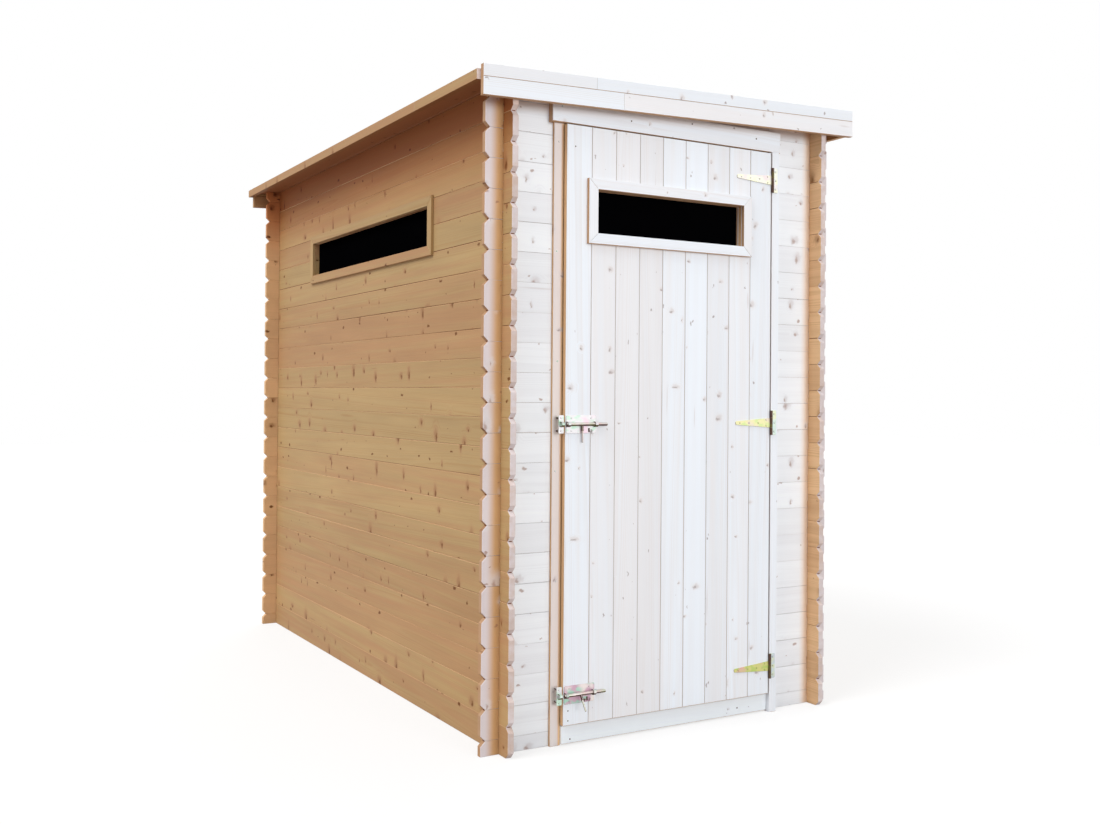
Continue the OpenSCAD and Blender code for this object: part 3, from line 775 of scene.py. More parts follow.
SILL = ("sill_spruce",) * 3 + ("board_edges",)
SHADED_AND_TARNISHED = ("tarnished_plating",) * 6


def metal(plating):
    """Finishes of a fitting: plated, with painted shade on its undersides and left faces."""
    return (plating,) * 3 + SHADED_AND_TARNISHED[:3]


# How far a tongue reaches into the boards beside it, and half its thickness
WALL_TONGUE = (0.003, 0.005)
DOOR_TONGUE = (0.002, 0.003)


def part_way(ends, part):
    """The place that is a part of the way from one end to the other."""
    return ends[0] + part * (ends[1] - ends[0])


def shared_out(ends, count):
    """The two edges of each of the boards that share out a width."""
    step = (ends[1] - ends[0]) / count
    return [(ends[0] + k * step, ends[0] + k * step + step) for k in range(count)]


def seams_up_to(top, first):
    """Heights of the joints of stacked boards from the ground to the top, with the ends.

    The first joint is at first, and the highest board is at least a chamfer high.
    """
    s = sizes()
    seams = [0.0]
    height = first
    while height + s.end_chamfer < top:
        seams.append(height)
        height += s.board_cover
    return seams + [top]


def board_wall(piece, place, u, w, seams, laps, ends, holes=(), foot=False, planes=(),
               arris=1.0):
    """Stacks interlocking boards, with a tongue in each joint that is finished dark as painted
    shade.

    laps are the notches where they cross the other walls' boards, and holes are windows.
    ends are the places along them where their ends are chamfered, foot says if the lowest
    corners are too, and arris widens their eased edges.
    """
    s = sizes()
    for low, high in zip(seams, seams[1:]):
        openness = piece.rng.uniform(0.25, 1.0) ** 1.8
        gap = openness * s.board_gap / 2
        upper = high - (gap if high < seams[-1] - NEAR else 0)
        lower = low + (gap if low > 0 else 0)
        corners = [(end, level) for end in ends for level in (lower, upper)
                   if (level > 0 or foot) and level < seams[-1] - NEAR]
        piece.board(place, u, (lower, upper), w, cuts=[*laps, *holes], corners=corners,
                    chamfer=s.end_chamfer, planes=planes,
                    arris=arris * s.board_arris * (0.35 + 0.65 * openness))
        if high < seams[-1] - NEAR:
            middle = (w[0] + w[1]) / 2
            reach, half = WALL_TONGUE
            inset = s.end_chamfer - s.board_arris
            inner = (u[0] + (inset if u[0] in ends else 0), u[1] - (inset if u[1] in ends else 0))
            # The tongue takes the dark finish: painted shade in the joint.
            piece.board(place, inner, (high - reach, high + reach),
                        (middle - half, middle + half), cuts=holes, arris=0.0, dark=True)


def timber(name, node, finishes, arris=0.001):
    """One plain board of the front, along X, that fills its node's box."""
    piece = Piece(name)
    piece.board(lay("xzy"), *extents("xzy", *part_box(node)), arris=arris)
    piece.finish("shed", "pale_wood", finishes, [node])


class Levels:
    """Places that several pieces share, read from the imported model's boxes."""

    def __init__(self):
        left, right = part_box("left_wall"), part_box("right_wall")
        self.x_left, self.x_right = left[0].x, right[1].x
        self.y_front, self.y_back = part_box("front_wall_left")[0].y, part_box("back_wall")[1].y
        self.thick = left[1].x - left[0].x
        self.eave = left[1].z
        self.slope = (right[1].z - left[1].z) / (right[0].x - left[0].x)
        self.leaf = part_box("door_boards")

    def lean(self):
        """A matrix that tips level pieces to the roof's slope."""
        matrix = Matrix.Identity(4)
        matrix[2][0] = self.slope
        matrix[2][3] = -self.slope * self.x_left
        return matrix

    def level(self, node):
        """A roof node's box with the slope taken out."""
        low, high = (corner.copy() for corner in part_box(node))
        low.z -= self.slope * (low.x - self.x_left)
        high.z -= self.slope * (high.x - self.x_left)
        return low, high

    def roof_plane(self):
        """The walls' sloping upper edge, for boards that run along X."""
        return (self.x_left, self.eave, 0), (-self.slope, 1, 0)


def hole_in(node, margin):
    """The opening inside a trim's box."""
    low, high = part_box(node)
    return low + Vector((margin,) * 3), high - Vector((margin,) * 3)


def mitred_frame(piece, order, u, v, w, width):
    """Four trim boards with mitred corners round an opening."""
    level, upright = lay(order), lay(order[1] + order[0] + order[2])
    for side in (-1, 1):
        for place, along, across in ((level, u, v), (upright, v, u)):
            edge = across[0] if side < 0 else across[1]
            rail = tuple(sorted((edge, edge - side * width)))
            piece.board(place, along, rail, w, planes=mitres(along, edge, side))


def mitres(u, edge, side):
    """Two planes that cut a trim board's ends at 45 degrees, long along its outer edge."""
    return [((u[0] + 2 * GAP, edge, 0), (-1, -side, 0)),
            ((u[1] - 2 * GAP, edge, 0), (1, -side, 0))]


# Fittings -----------------------------------------------------------------

PLAY = 0.0005  # play between a hinge's knuckles
SUNK = 0.0005  # how deep a guide's feet go into the plate behind them
GUIDE_OUT, GUIDE_CLEAR = 0.003, 0.0008  # from a rod to its guide's outside and inside
SMALL_SCREW = 0.9  # size of the smaller screws, as a share of the others'


def rod_mesh(radius, reach, segments=20, edge=0.0004):
    """A closed round bar along local X, from 0 to its reach."""
    bm = new_mesh()
    bmesh.ops.create_cone(bm, cap_ends=True, cap_tris=False, segments=segments,
                          radius1=radius, radius2=radius, depth=reach)
    rims = [e for e in bm.edges if len({round(v.co.z, 6) for v in e.verts}) == 1]
    bmesh.ops.bevel(bm, geom=rims, offset=edge, affect="EDGES", segments=2, profile=0.5,
                    material=-1)
    turn = Matrix.Rotation(math.pi / 2, 4, "Y")
    bmesh.ops.transform(bm, matrix=Matrix.Translation((reach / 2, 0, 0)) @ turn,
                        verts=bm.verts)
    return bm


def standing(point):
    """Stands a bar that lies along local X on a point."""
    return Matrix.Translation(point) @ Matrix.Rotation(-math.pi / 2, 4, "Y")


def head_mesh(radius, taper, segments, thick, sunk):
    """A low round head that looks along local +Z, sunk a little into what it holds."""
    bm = new_mesh()
    bmesh.ops.create_cone(bm, cap_ends=True, cap_tris=False, segments=segments,
                          radius1=radius, radius2=radius * taper, depth=thick)
    bmesh.ops.translate(bm, vec=(0, 0, thick / 2 - sunk), verts=bm.verts)
    return bm


def nail_head(radius):
    return head_mesh(radius, 0.8, 10, 0.001, 0.0003)


def screw_head(radius):
    """A countersunk screw head with a cross recess, that looks along local +Z."""
    bm = head_mesh(radius, 0.78, 14, 0.0012, 0.0002)
    slot, reach = radius * 0.16, radius * 0.55
    for axis in ((1, 0, 0), (0, 1, 0)):
        for size in (-reach, -slot, slot, reach):
            split(bm, Vector(axis) * size, axis)
    cross = [f for f in bm.faces if f.normal.z > 0.9
             and min(abs(c) for c in f.calc_center_median().xy) < slot
             and max(abs(c) for c in f.calc_center_median().xy) < reach]
    made = bmesh.ops.extrude_face_region(bm, geom=cross)
    bmesh.ops.translate(bm, vec=(0, 0, -0.0007), verts=points_of(made))
    bmesh.ops.delete(bm, geom=[f for f in cross if f.is_valid], context="FACES")
    return bm


def facing_front(x, y, z, turn=0.0):
    """Places a head that looks along local +Z so that it looks along -Y."""
    tilt = Matrix.Rotation(math.pi / 2, 4, "X")
    return Matrix.Translation((x, y, z)) @ tilt @ Matrix.Rotation(turn, 4, "Z")


def drive_nail(piece, radius, x, y, z, dark):
    piece.take(nail_head(radius), facing_front(x, y, z), dark=dark)


def drive_screw(piece, radius, x, y, z, turn):
    piece.take(screw_head(radius), facing_front(x, y, z, turn))


def ring_mesh(radius, wire):
    """A closed ring of round wire about local Z."""
    bm = new_mesh()
    made = bmesh.ops.create_circle(bm, cap_ends=False, segments=8, radius=wire)
    bmesh.ops.rotate(bm, cent=(0, 0, 0), matrix=Matrix.Rotation(math.pi / 2, 3, "X"),
                     verts=made["verts"])
    bmesh.ops.translate(bm, vec=(radius, 0, 0), verts=made["verts"])
    bmesh.ops.spin(bm, geom=everything(bm), cent=(0, 0, 0), axis=(0, 0, 1),
                   angle=math.tau, steps=20, use_merge=True)
    return bm


def guide_mesh(width, inner, outer, foot):
    """A bent strap over a rod: its arch is round local X and its feet reach to +Y."""
    bm = blank((-width / 2, width / 2), (inner, outer))
    bmesh.ops.rotate(bm, cent=(0, 0, 0), matrix=Matrix.Rotation(math.pi / 2, 3, "X"),
                     verts=bm.verts)
    bmesh.ops.spin(bm, geom=everything(bm), cent=(0, 0, 0), axis=(1, 0, 0),
                   angle=math.pi, steps=12)
    caps = [f for f in bm.faces if all(abs(v.co.y) < NEAR for v in f.verts)]
    made = bmesh.ops.extrude_face_region(bm, geom=caps)
    bmesh.ops.translate(bm, vec=(0, foot, 0), verts=points_of(made))
    bmesh.ops.delete(bm, geom=[f for f in caps if f.is_valid], context="FACES")
    bmesh.ops.recalc_face_normals(bm, faces=bm.faces)
    return bm


def sheet(u, v, w, radius=0.0, edge=0.0003, cuts=(), corners=None):
    """Sheet metal with its four corners rounded, or only those that are given."""
    bm = blank(u, v)
    cut_out(bm, u, v, cuts)
    corner_bevel(bm, corners or [(a, b) for a in u for b in v], radius, segments=3)
    thicken(bm, w)
    ease(bm, w, edge)
    return bm


# Operators ----------------------------------------------------------------

class SHED_OT_walls(bpy.types.Operator):
    """Stack the interlocking boards of the four walls"""
    bl_idname = "shed.walls"
    bl_label = "Walls"
    bl_options = {"REGISTER", "UNDO"}

    def execute(self, context):
        at, s = Levels(), sizes()
        cover, quarter = s.board_cover, s.board_cover / 4
        count = round(at.eave / cover) + 2
        fronts = [(at.y_front, at.y_front + at.thick), (at.y_back - at.thick, at.y_back)]
        sides = [(at.x_left, at.x_left + at.thick), (at.x_right - at.thick, at.x_right)]
        side_laps = [(a, b, k * cover - quarter, k * cover + quarter)
                     for a, b in fronts for k in range(count)]
        front_laps = [(a, b, k * cover + quarter, k * cover + 3 * quarter)
                      for a, b in sides for k in range(count)]
        window = hole_in("side_window_trim", s.trim_width)
        hole = (window[0].y, window[1].y, window[0].z, window[1].z)
        for node, holes, finishes in (("left_wall", [hole], SIDE), ("right_wall", [], RIGHT)):
            u, v, w = extents("yzx", *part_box(node))
            piece = Piece(node + "_boards")
            board_wall(piece, lay("yzx"), u, w, seams_up_to(v[1], cover), side_laps, u,
                       holes=holes, foot=True, arris=1.5)
            piece.finish("shed", "tan_wood", finishes, [node],
                         ends_from=at.y_back - at.thick, notched=1)
        for node, notched, slot, finishes in (
                ("back_wall", (0, 1), "tan_wood", BACK_WALL),
                ("front_wall_left", (0,), "pale_wood", FRONT_WALL),
                ("front_wall_right", (1,), "pale_wood", FRONT_WALL)):
            u, v, w = extents("xzy", *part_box(node))
            piece = Piece(node + "_boards")
            board_wall(piece, lay("xzy"), u, w, seams_up_to(v[1], cover / 2), front_laps,
                       [u[end] for end in notched], planes=[at.roof_plane()])
            piece.finish("shed", slot, finishes, [node], notched=0)
        self.head(at, s)
        timber("threshold", "threshold_board", FRONT)
        return {"FINISHED"}

    def head(self, at, s):
        """The wall above the door."""
        u, v, w = extents("xzy", *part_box("front_wall_head"))
        seams = [z for z in seams_up_to(v[1], s.board_cover / 2) if z > v[0] + s.end_chamfer]
        piece = Piece("front_wall_head_boards")
        for rise in zip([v[0], *seams], seams):
            piece.board(lay("xzy"), u, rise, w, planes=[at.roof_plane()], arris=s.board_arris)
        piece.finish("shed", "pale_wood", FRONT, ["front_wall_head"])


class SHED_OT_floor(bpy.types.Operator):
    """Lay the floor boards on their bearers"""
    bl_idname = "shed.floor"
    bl_label = "Floor"
    bl_options = {"REGISTER", "UNDO"}

    def execute(self, context):
        s = sizes()
        u, v, w = extents("xyz", *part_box("floor_boards"))
        piece = Piece("floor_planks")
        for y0, y1 in shared_out(v, round((v[1] - v[0]) / s.floor_cover)):
            piece.board(lay("xyz"), u, (y0 + GAP, y1 - GAP), w, arris=0.0012)
        piece.finish("shed", "floor_wood", BACK, ["floor_boards"])
        u, v, w = extents("yxz", *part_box("floor_bearers"))
        piece = Piece("bearers")
        for x0 in (v[0], (v[0] + v[1] - s.bearer_width) / 2, v[1] - s.bearer_width):
            piece.board(lay("yxz"), u, (x0, x0 + s.bearer_width), w, arris=0.002)
        piece.finish("shed", "treated_wood", ("treated_pine",) * 4, ["floor_bearers"])
        return {"FINISHED"}


# Joints in the boards along the roof's edge, as shares of their height or length
GLUE_LINE = 0.59
UPPER_JOINT, LOWER_JOINT = 0.268, 0.336
BATTEN_JOINT = 0.19


class SHED_OT_roof(bpy.types.Operator):
    """Lay the roof boards on their purlins, with fascias and edge battens"""
    bl_idname = "shed.roof"
    bl_label = "Roof"
    bl_options = {"REGISTER", "UNDO"}

    def execute(self, context):
        at, s = Levels(), sizes()
        u, v, w = extents("yxz", *at.level("roof_boards"))
        piece = Piece("roof_planks")
        for x0, x1 in shared_out(v, round((v[1] - v[0]) / s.roof_cover)):
            gap = piece.rng.uniform(0.5, 2.0) * GAP
            piece.board(at.lean() @ lay("yxz"), u, (x0 + gap, x1 - gap), w, arris=0.0015)
        piece.finish("shed", "roof_wood", ROOF, ["roof_boards"])
        self.purlins(at, s)
        for node, finishes in (("front_fascia", FASCIA), ("back_fascia", ROOF)):
            self.fascia(node, at, finishes)
        for node, finishes, hang in (("left_edge_batten", BATTEN, 0.0),
                                     ("right_edge_batten", RIGHT_BATTEN, s.batten_hang)):
            self.batten(node, at, finishes, hang)
        return {"FINISHED"}

    def purlins(self, at, s):
        """The two purlins, and the cleats under their ends."""
        u, v, w = extents("xyz", *at.level("roof_purlins"))
        piece = Piece("purlins")
        for y0 in (v[0], v[1] - s.purlin_width):
            piece.board(at.lean() @ lay("xyz"), u, (y0, y0 + s.purlin_width), w, arris=0.002)
        piece.finish("shed", "tan_wood", ROOF, ["roof_purlins"])
        u, v, w = extents("zyx", *at.level("purlin_cleats"))
        piece = Piece("cleats")
        for y0 in (v[0], v[1] - s.purlin_width):
            for x0 in (w[0], w[1] - s.cleat_width):
                piece.board(at.lean() @ lay("zyx"), u, (y0, y0 + s.purlin_width),
                            (x0, x0 + s.cleat_width))
        piece.finish("shed", "tan_wood", BACK, ["purlin_cleats"])

    def fascia(self, node, at, finishes):
        """Two glued boards, one above the other, each joined once along its length."""
        u, v, w = extents("xzy", *at.level(node))
        glue = part_way(v, GLUE_LINE)
        upper, lower = (glue + 1.5 * GAP, v[1]), (v[0], glue - 1.5 * GAP)
        piece = Piece(node + "_board")
        for height, part in ((upper, UPPER_JOINT), (lower, LOWER_JOINT)):
            joint = part_way(u, part)
            for reach in ((u[0], joint - GAP), (joint + GAP, u[1])):
                piece.board(at.lean() @ lay("xzy"), reach, height, w, arris=0.0009)
        piece.finish("shed", "pale_wood", finishes, [node])

    def batten(self, node, at, finishes, hang):
        """A strip in two lengths, whose foot hangs below the node's box."""
        u, v, w = extents("yzx", *at.level(node))
        joint = part_way(u, BATTEN_JOINT)
        piece = Piece(node + "_strip")
        for reach in ((u[0], joint), (joint, u[1])):
            piece.board(at.lean() @ lay("yzx"), reach, (v[0] - hang, v[1]), w, arris=0.0006)
        piece.finish("shed", "tan_wood", finishes, [node])


class SHED_OT_doorframe(bpy.types.Operator):
    """Set the jambs, linings, head board and sill around the doorway"""
    bl_idname = "shed.doorframe"
    bl_label = "Door frame"
    bl_options = {"REGISTER", "UNDO"}

    def execute(self, context):
        at, s = Levels(), sizes()
        inner = at.y_front + at.thick
        leaf_top, floor_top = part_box("head_lining")[0].z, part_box("floor_boards")[1].z
        upright = lay("zxy")
        for node, finishes in (("left_jamb", LEFT_JAMB), ("right_jamb", RIGHT_JAMB)):
            low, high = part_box(node)
            width = (low.x, high.x)
            lining = ((high.x - s.lining, high.x) if node == "left_jamb"
                      else (low.x, low.x + s.lining))
            piece = Piece(node + "_timbers")
            piece.board(upright, (low.z, leaf_top), width, (low.y, at.y_front), arris=0.0012)
            piece.board(upright, (low.z, high.z), lining, (at.y_front, inner), arris=0.0006)
            piece.board(upright, (floor_top, high.z), width, (inner, high.y))
            piece.finish("shed", "pale_wood", finishes, [node])
        for node, finishes, arris in (("head_lining", FRONT, 0.0006),
                                      ("head_board", FRONT, 0.0015),
                                      ("sill_plank", SILL, 0.0012)):
            timber(node + "_timber", node, finishes, arris)
        return {"FINISHED"}


class SHED_OT_door(bpy.types.Operator):
    """Build the door leaf from boards, ledges and braces"""
    bl_idname = "shed.door"
    bl_label = "Door leaf"
    bl_options = {"REGISTER", "UNDO"}

    def execute(self, context):
        at, s = Levels(), sizes()
        self.planks(at, s)
        self.backing(s)
        return {"FINISHED"}

    def planks(self, at, s):
        """The boards, with a tongue in each joint."""
        u, v, w = extents("zxy", *at.leaf)
        window = hole_in("door_window_trim", s.trim_width)
        hole = (window[0].z, window[1].z, window[0].x, window[1].x)
        middle = (w[0] + w[1]) / 2
        reach, half = DOOR_TONGUE
        piece = Piece("door_planks")
        last = s.door_boards - 1
        for k, (x0, x1) in enumerate(shared_out(v, s.door_boards)):
            gap = piece.rng.uniform(0.1, 0.5) * s.board_gap
            inner = (x0 + (gap if k > 0 else 0), x1 - (gap if k < last else 0))
            piece.board(lay("zxy"), u, inner, w, cuts=[hole], arris=s.door_arris)
            if k > 0:
                piece.board(lay("zxy"), (u[0] + reach, u[1] - reach), (x0 - reach, x0 + reach),
                            (middle - half, middle + half), cuts=[hole], arris=0.0)
        margin = (v[1] - v[0]) / s.door_boards / 2
        piece.finish("door", "pale_wood", DOOR, ["door_boards"],
                     grooves=(v[0] + margin, v[1] - margin))

    def backing(self, s):
        """The ledges, and the braces between them."""
        u, v, w = extents("xzy", *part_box("door_ledges"))
        feet = (v[0], (v[0] + v[1] - s.ledge_height) / 2, v[1] - s.ledge_height)
        piece = Piece("ledges")
        for z0 in feet:
            piece.board(lay("xzy"), u, (z0, z0 + s.ledge_height), w, arris=0.003)
        piece.finish("door", "pale_wood", FRONT, ["door_ledges"])
        u, v, w = extents("zxy", *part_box("door_braces"))
        x0 = v[1] - s.brace_width
        piece = Piece("braces")
        for z0, z1 in ((u[0], feet[1]), (feet[1] + s.ledge_height, u[1])):
            slant = (x0 - v[0]) / (z1 - z0)
            lean = Matrix.Identity(4)
            lean[0][2], lean[0][3] = -slant, slant * z0
            piece.board(lean @ lay("zxy"), (z0, z1), (x0, v[1]), w, arris=0.003)
        piece.finish("door", "pale_wood", FRONT, ["door_braces"])


class SHED_OT_windows(bpy.types.Operator):
    """Trim both window openings and set their panes"""
    bl_idname = "shed.windows"
    bl_label = "Windows"
    bl_options = {"REGISTER", "UNDO"}

    def execute(self, context):
        s = sizes()
        windows = (("side_window", "yzx", "shed", "tan_wood", BACK),
                   ("door_window", "xzy", "door", "pale_wood", FRONT))
        for window, order, body, slot, finishes in windows:
            for node in (window + "_trim", window + "_inner_trim"):
                piece = Piece(node + "_boards")
                mitred_frame(piece, order, *extents(order, *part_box(node)), s.trim_width)
                piece.finish(body, slot, finishes, [node])
        for window, order, body, *_ in windows:
            node = window + "_pane"
            piece = Piece(node + "_sheet")
            piece.take(sheet(*extents(order, *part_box(node)), edge=0.0004), lay(order))
            piece.finish(body, "dark_pane", ("pane",) * 4, [node])
        return {"FINISHED"}


# Screws of a hinge: across and up from its pin, as shares of the leaf's size
PLATE_SCREWS = ((0.62, -0.72), (0.68, 0.0), (0.62, 0.72))
STRAP_SCREWS = ((0.13, 0.30), (0.13, -0.30), (0.36, 0.0), (0.62, 0.0), (0.88, 0.0))


class SHED_OT_hinges(bpy.types.Operator):
    """Make the three hinges, each a plate on the jamb and a strap on the door"""
    bl_idname = "shed.hinges"
    bl_label = "Hinges"
    bl_options = {"REGISTER", "UNDO"}

    def execute(self, context):
        s = sizes()
        for name in ("top", "middle", "bottom"):
            self.plate(name + "_hinge_plate", s, metal(name + "_plate"))
            self.strap(name + "_hinge_strap", s, metal(name + "_strap"))
        return {"FINISHED"}

    def plate(self, node, s, finishes):
        low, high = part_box(node)
        pin = Vector((low.x + s.hinge_barrel, low.y + s.hinge_barrel, (low.z + high.z) / 2))
        face, edge = high.y - s.hinge_sheet, high.x - pin.x
        half, room = (high.z - low.z) / 2, s.strap_height / 2 + PLAY
        leaf = sheet((0, edge), (-half, half), (face - pin.y, high.y - pin.y), radius=0.003,
                     cuts=[(-1, s.hinge_barrel + 2 * PLAY, -room, room)],
                     corners=[(edge, -half), (edge, half)])
        piece = Piece(node + "_metal")
        piece.take(leaf, Matrix.Translation(pin) @ lay("xzy"))
        for z0 in (-half, room):
            knuckle = rod_mesh(s.hinge_barrel, half - room)
            piece.take(knuckle, standing(pin + Vector((0, 0, z0))), dark=True)
        for across, up in PLATE_SCREWS:
            z = up * half
            drive_screw(piece, s.screw_radius, pin.x + across * edge, face, pin.z + z,
                        0.4 + 9 * z)
        piece.finish("shed", "yellow_zinc", finishes, [node], smooth=True)

    def strap(self, node, s, finishes):
        low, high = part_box(node)
        pin = Vector((high.x - s.hinge_barrel, low.y + s.hinge_barrel, (low.z + high.z) / 2))
        face, reach = high.y - s.hinge_sheet, pin.x - low.x
        root, tip = s.strap_height / 2, s.strap_tip / 2
        bm = blank((-reach, 0), (-root, root))
        for vert in bm.verts:
            if vert.co.x < -NEAR:
                vert.co.y *= tip / root
        corner_bevel(bm, [(-reach, -tip), (-reach, tip)], tip * 0.8, segments=5)
        w = (face - pin.y, high.y - pin.y)
        thicken(bm, w)
        ease(bm, w, 0.0003)
        piece = Piece(node + "_metal")
        piece.take(bm, Matrix.Translation(pin) @ lay("xzy"))
        knuckle = rod_mesh(s.hinge_barrel, 2 * root)
        piece.take(knuckle, standing(pin - Vector((0, 0, root))), dark=True)
        for across, up in STRAP_SCREWS:
            drive_screw(piece, s.screw_radius * SMALL_SCREW, pin.x - across * reach, face,
                        pin.z + up * s.strap_height, across * 5)
        piece.finish("door", "yellow_zinc", finishes, [node], smooth=True)


def rod_axis(node, s):
    """The y and z of the rod that runs through a bolt plate or a keeper."""
    low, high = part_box(node)
    return low.y + s.bolt_rod + GUIDE_OUT, (low.z + high.z) / 2


class SHED_OT_bolts(bpy.types.Operator):
    """Make the two door bolts, their rods and the keepers on the jamb"""
    bl_idname = "shed.bolts"
    bl_label = "Bolts"
    bl_options = {"REGISTER", "UNDO"}

    def execute(self, context):
        at, s = Levels(), sizes()
        for name, eyes, turn in (("upper", 1, 0.0), ("lower", 2, math.radians(35))):
            self.plate(name + "_bolt_plate", s, name + "_bolt", eyes)
            self.rod(name + "_bolt_rod", s, turn)
            self.keeper(name + "_keeper", at, s)
        return {"FINISHED"}

    def guide(self, piece, s, x, axis, face):
        """A guide round a rod's axis, with its feet on the plate's face."""
        arch = guide_mesh(s.guide_width, s.bolt_rod + GUIDE_CLEAR, s.bolt_rod + GUIDE_OUT,
                          face - axis[0] + SUNK)
        piece.take(arch, Matrix.Translation((x, *axis)))

    def plate(self, node, s, plating, eyes):
        low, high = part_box(node)
        face, axis = high.y - s.bolt_sheet, rod_axis(node, s)
        piece = Piece(node + "_metal")
        piece.take(sheet((low.x, high.x), (low.z, high.z), (face, high.y), radius=0.004),
                   lay("xzy"))
        for x in (low.x + s.guide_width / 2, high.x - s.guide_width / 2):
            self.guide(piece, s, x, axis, face)
        inset, rise = 0.018, 0.019
        for x in (low.x + inset, high.x - inset):
            for side in (-1, 1):
                drive_screw(piece, s.screw_radius * SMALL_SCREW, x, face, axis[1] + side * rise,
                            x * 40)
        for k in range(eyes):
            self.eye(piece, high.x - inset - 0.017 * k, face, low.z + 0.0065)
        piece.finish("door", "zinc", metal(plating), [node], smooth=True, under=0.3)

    def eye(self, piece, x, face, z):
        """A ring for a padlock on the plate, with a dark hole in it and a dark slot beside it:
        both are dark parts that paint shade.
        """
        turn = Matrix.Rotation(math.pi / 2, 4, "X")
        piece.take(ring_mesh(0.0046, 0.0013), Matrix.Translation((x, face - 0.0012, z)) @ turn)
        drive_nail(piece, 0.0036, x, face, z, dark=True)
        slot = sheet((x - 0.0105, x - 0.0055), (z - 0.003, z + 0.009), (face - 0.0006, face),
                     edge=0.0001)
        piece.take(slot, lay("xzy"), dark=True)

    def rod(self, node, s, turn):
        """The rod, and its handle: a short stem and a flat bar that hangs at a turn."""
        low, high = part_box(node)
        plate = node.replace("rod", "plate")
        axis = rod_axis(plate, s)
        piece = Piece(node + "_metal")
        piece.take(rod_mesh(s.bolt_rod, high.x - low.x, 24, 0.0012),
                   Matrix.Translation((low.x, *axis)))
        handle_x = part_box(plate)[0].x + s.guide_width + 0.0435
        swing = Matrix.Translation((handle_x, *axis)) @ Matrix.Rotation(-turn, 4, "X")
        half, drop = 0.0028, 0.020
        stem = sheet((-half, half), (-drop, 0.0), (-half, half), edge=0.0004)
        piece.take(stem, swing @ lay("xzy"), dark=True)
        bar = rod_mesh(0.003, 0.054, 14, 0.0009)
        bmesh.ops.scale(bar, vec=(1, 1, 0.72), verts=bar.verts)
        piece.take(bar, swing @ Matrix.Rotation(math.pi / 2, 4, "Y"))
        piece.finish(node.replace("_rod", ""), "zinc", metal("rod_plating"), [node], smooth=True,
                     under=0.02)

    def keeper(self, node, at, s):
        """A plate with a guide for the rod's end, on two posts that stand on the jamb."""
        low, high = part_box(node)
        back = at.leaf[0].y
        face, axis = back - s.bolt_sheet, rod_axis(node, s)
        x = (low.x + high.x) / 2
        piece = Piece(node + "_metal")
        piece.take(sheet((low.x, high.x), (low.z, high.z), (face, back), radius=0.003),
                   lay("xzy"))
        self.guide(piece, s, x, axis, face)
        post = 0.004
        for side in (-1, 1):
            z = axis[1] + side * ((high.z - low.z) / 2 - 2 * post)
            place = Matrix.Translation((x, back, z)) @ Matrix.Rotation(math.pi / 2, 4, "Z")
            piece.take(rod_mesh(post, high.y - back, 16), place)
            drive_screw(piece, s.screw_radius, x, face, z, 0.7)
        piece.finish("shed", "zinc", metal("upper_bolt"), [node], smooth=True, under=0.3)


# Nails: across and up from the lower left corner of the board that they are in
HEAD_NAILS = ((0.03225, 0.047), (0.27625, 0.033), (0.50625, 0.053), (0.76625, 0.037))
SILL_NAILS = ((0.03025, 0.012), (0.65925, 0.022))
JAMB_NAILS = [(0.011 + k % 2 * 0.005, 0.16 + 0.325 * k) for k in range(6)]
DOOR_NAILS = ((0.01625, 0.043), (0.01625, 0.014), (0.02825, 1.71))


class SHED_OT_nails(bpy.types.Operator):
    """Drive the nails that show on the front"""
    bl_idname = "shed.nails"
    bl_label = "Nails"
    bl_options = {"REGISTER", "UNDO"}

    def execute(self, context):
        radius = sizes().nail_radius
        piece = Piece("frame_nails")
        self.drive(piece, "head_board", HEAD_NAILS[:1], radius)
        self.drive(piece, "head_board", HEAD_NAILS[1:], radius, dark=True)
        self.drive(piece, "sill_plank", SILL_NAILS, radius, dark=True)
        self.drive(piece, "left_jamb", JAMB_NAILS, radius)
        piece.finish("shed", "zinc", metal("upper_bolt"), [], smooth=True)
        piece = Piece("door_nails")
        self.drive(piece, "door_boards", DOOR_NAILS, radius * 0.8)
        piece.finish("door", "zinc", SHADED_AND_TARNISHED, [], smooth=True)
        return {"FINISHED"}

    def drive(self, piece, node, spots, radius, dark=False):
        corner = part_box(node)[0]
        for x, z in spots:
            drive_nail(piece, radius, corner.x + x, corner.y, corner.z + z, dark)


# Studio -------------------------------------------------------------------

# Azimuth, elevation and spread of each lamp, in degrees. Azimuth 0 shines from -Y.
LAMPS = {"side": (-84, 45, 38), "front": (8, 6, 28), "back": (135, 40, 60)}
FLOOR_DROP = 0.0006  # how far the floor lies below the shed
BOUNCE = (0.40, 0.37, 0.36, 1)  # what the floor throws back at the shed

# The camera stands beside the shed's front left corner, with its picture shifted a little
CAMERA_PLACE = (-2.1338, -4.0903, 1.0379)
CAMERA_TURNS = ((-30.667, "Z"), (90.481, "X"), (0.438, "Z"))
CAMERA_SHIFT = (-0.0186, -0.0251)


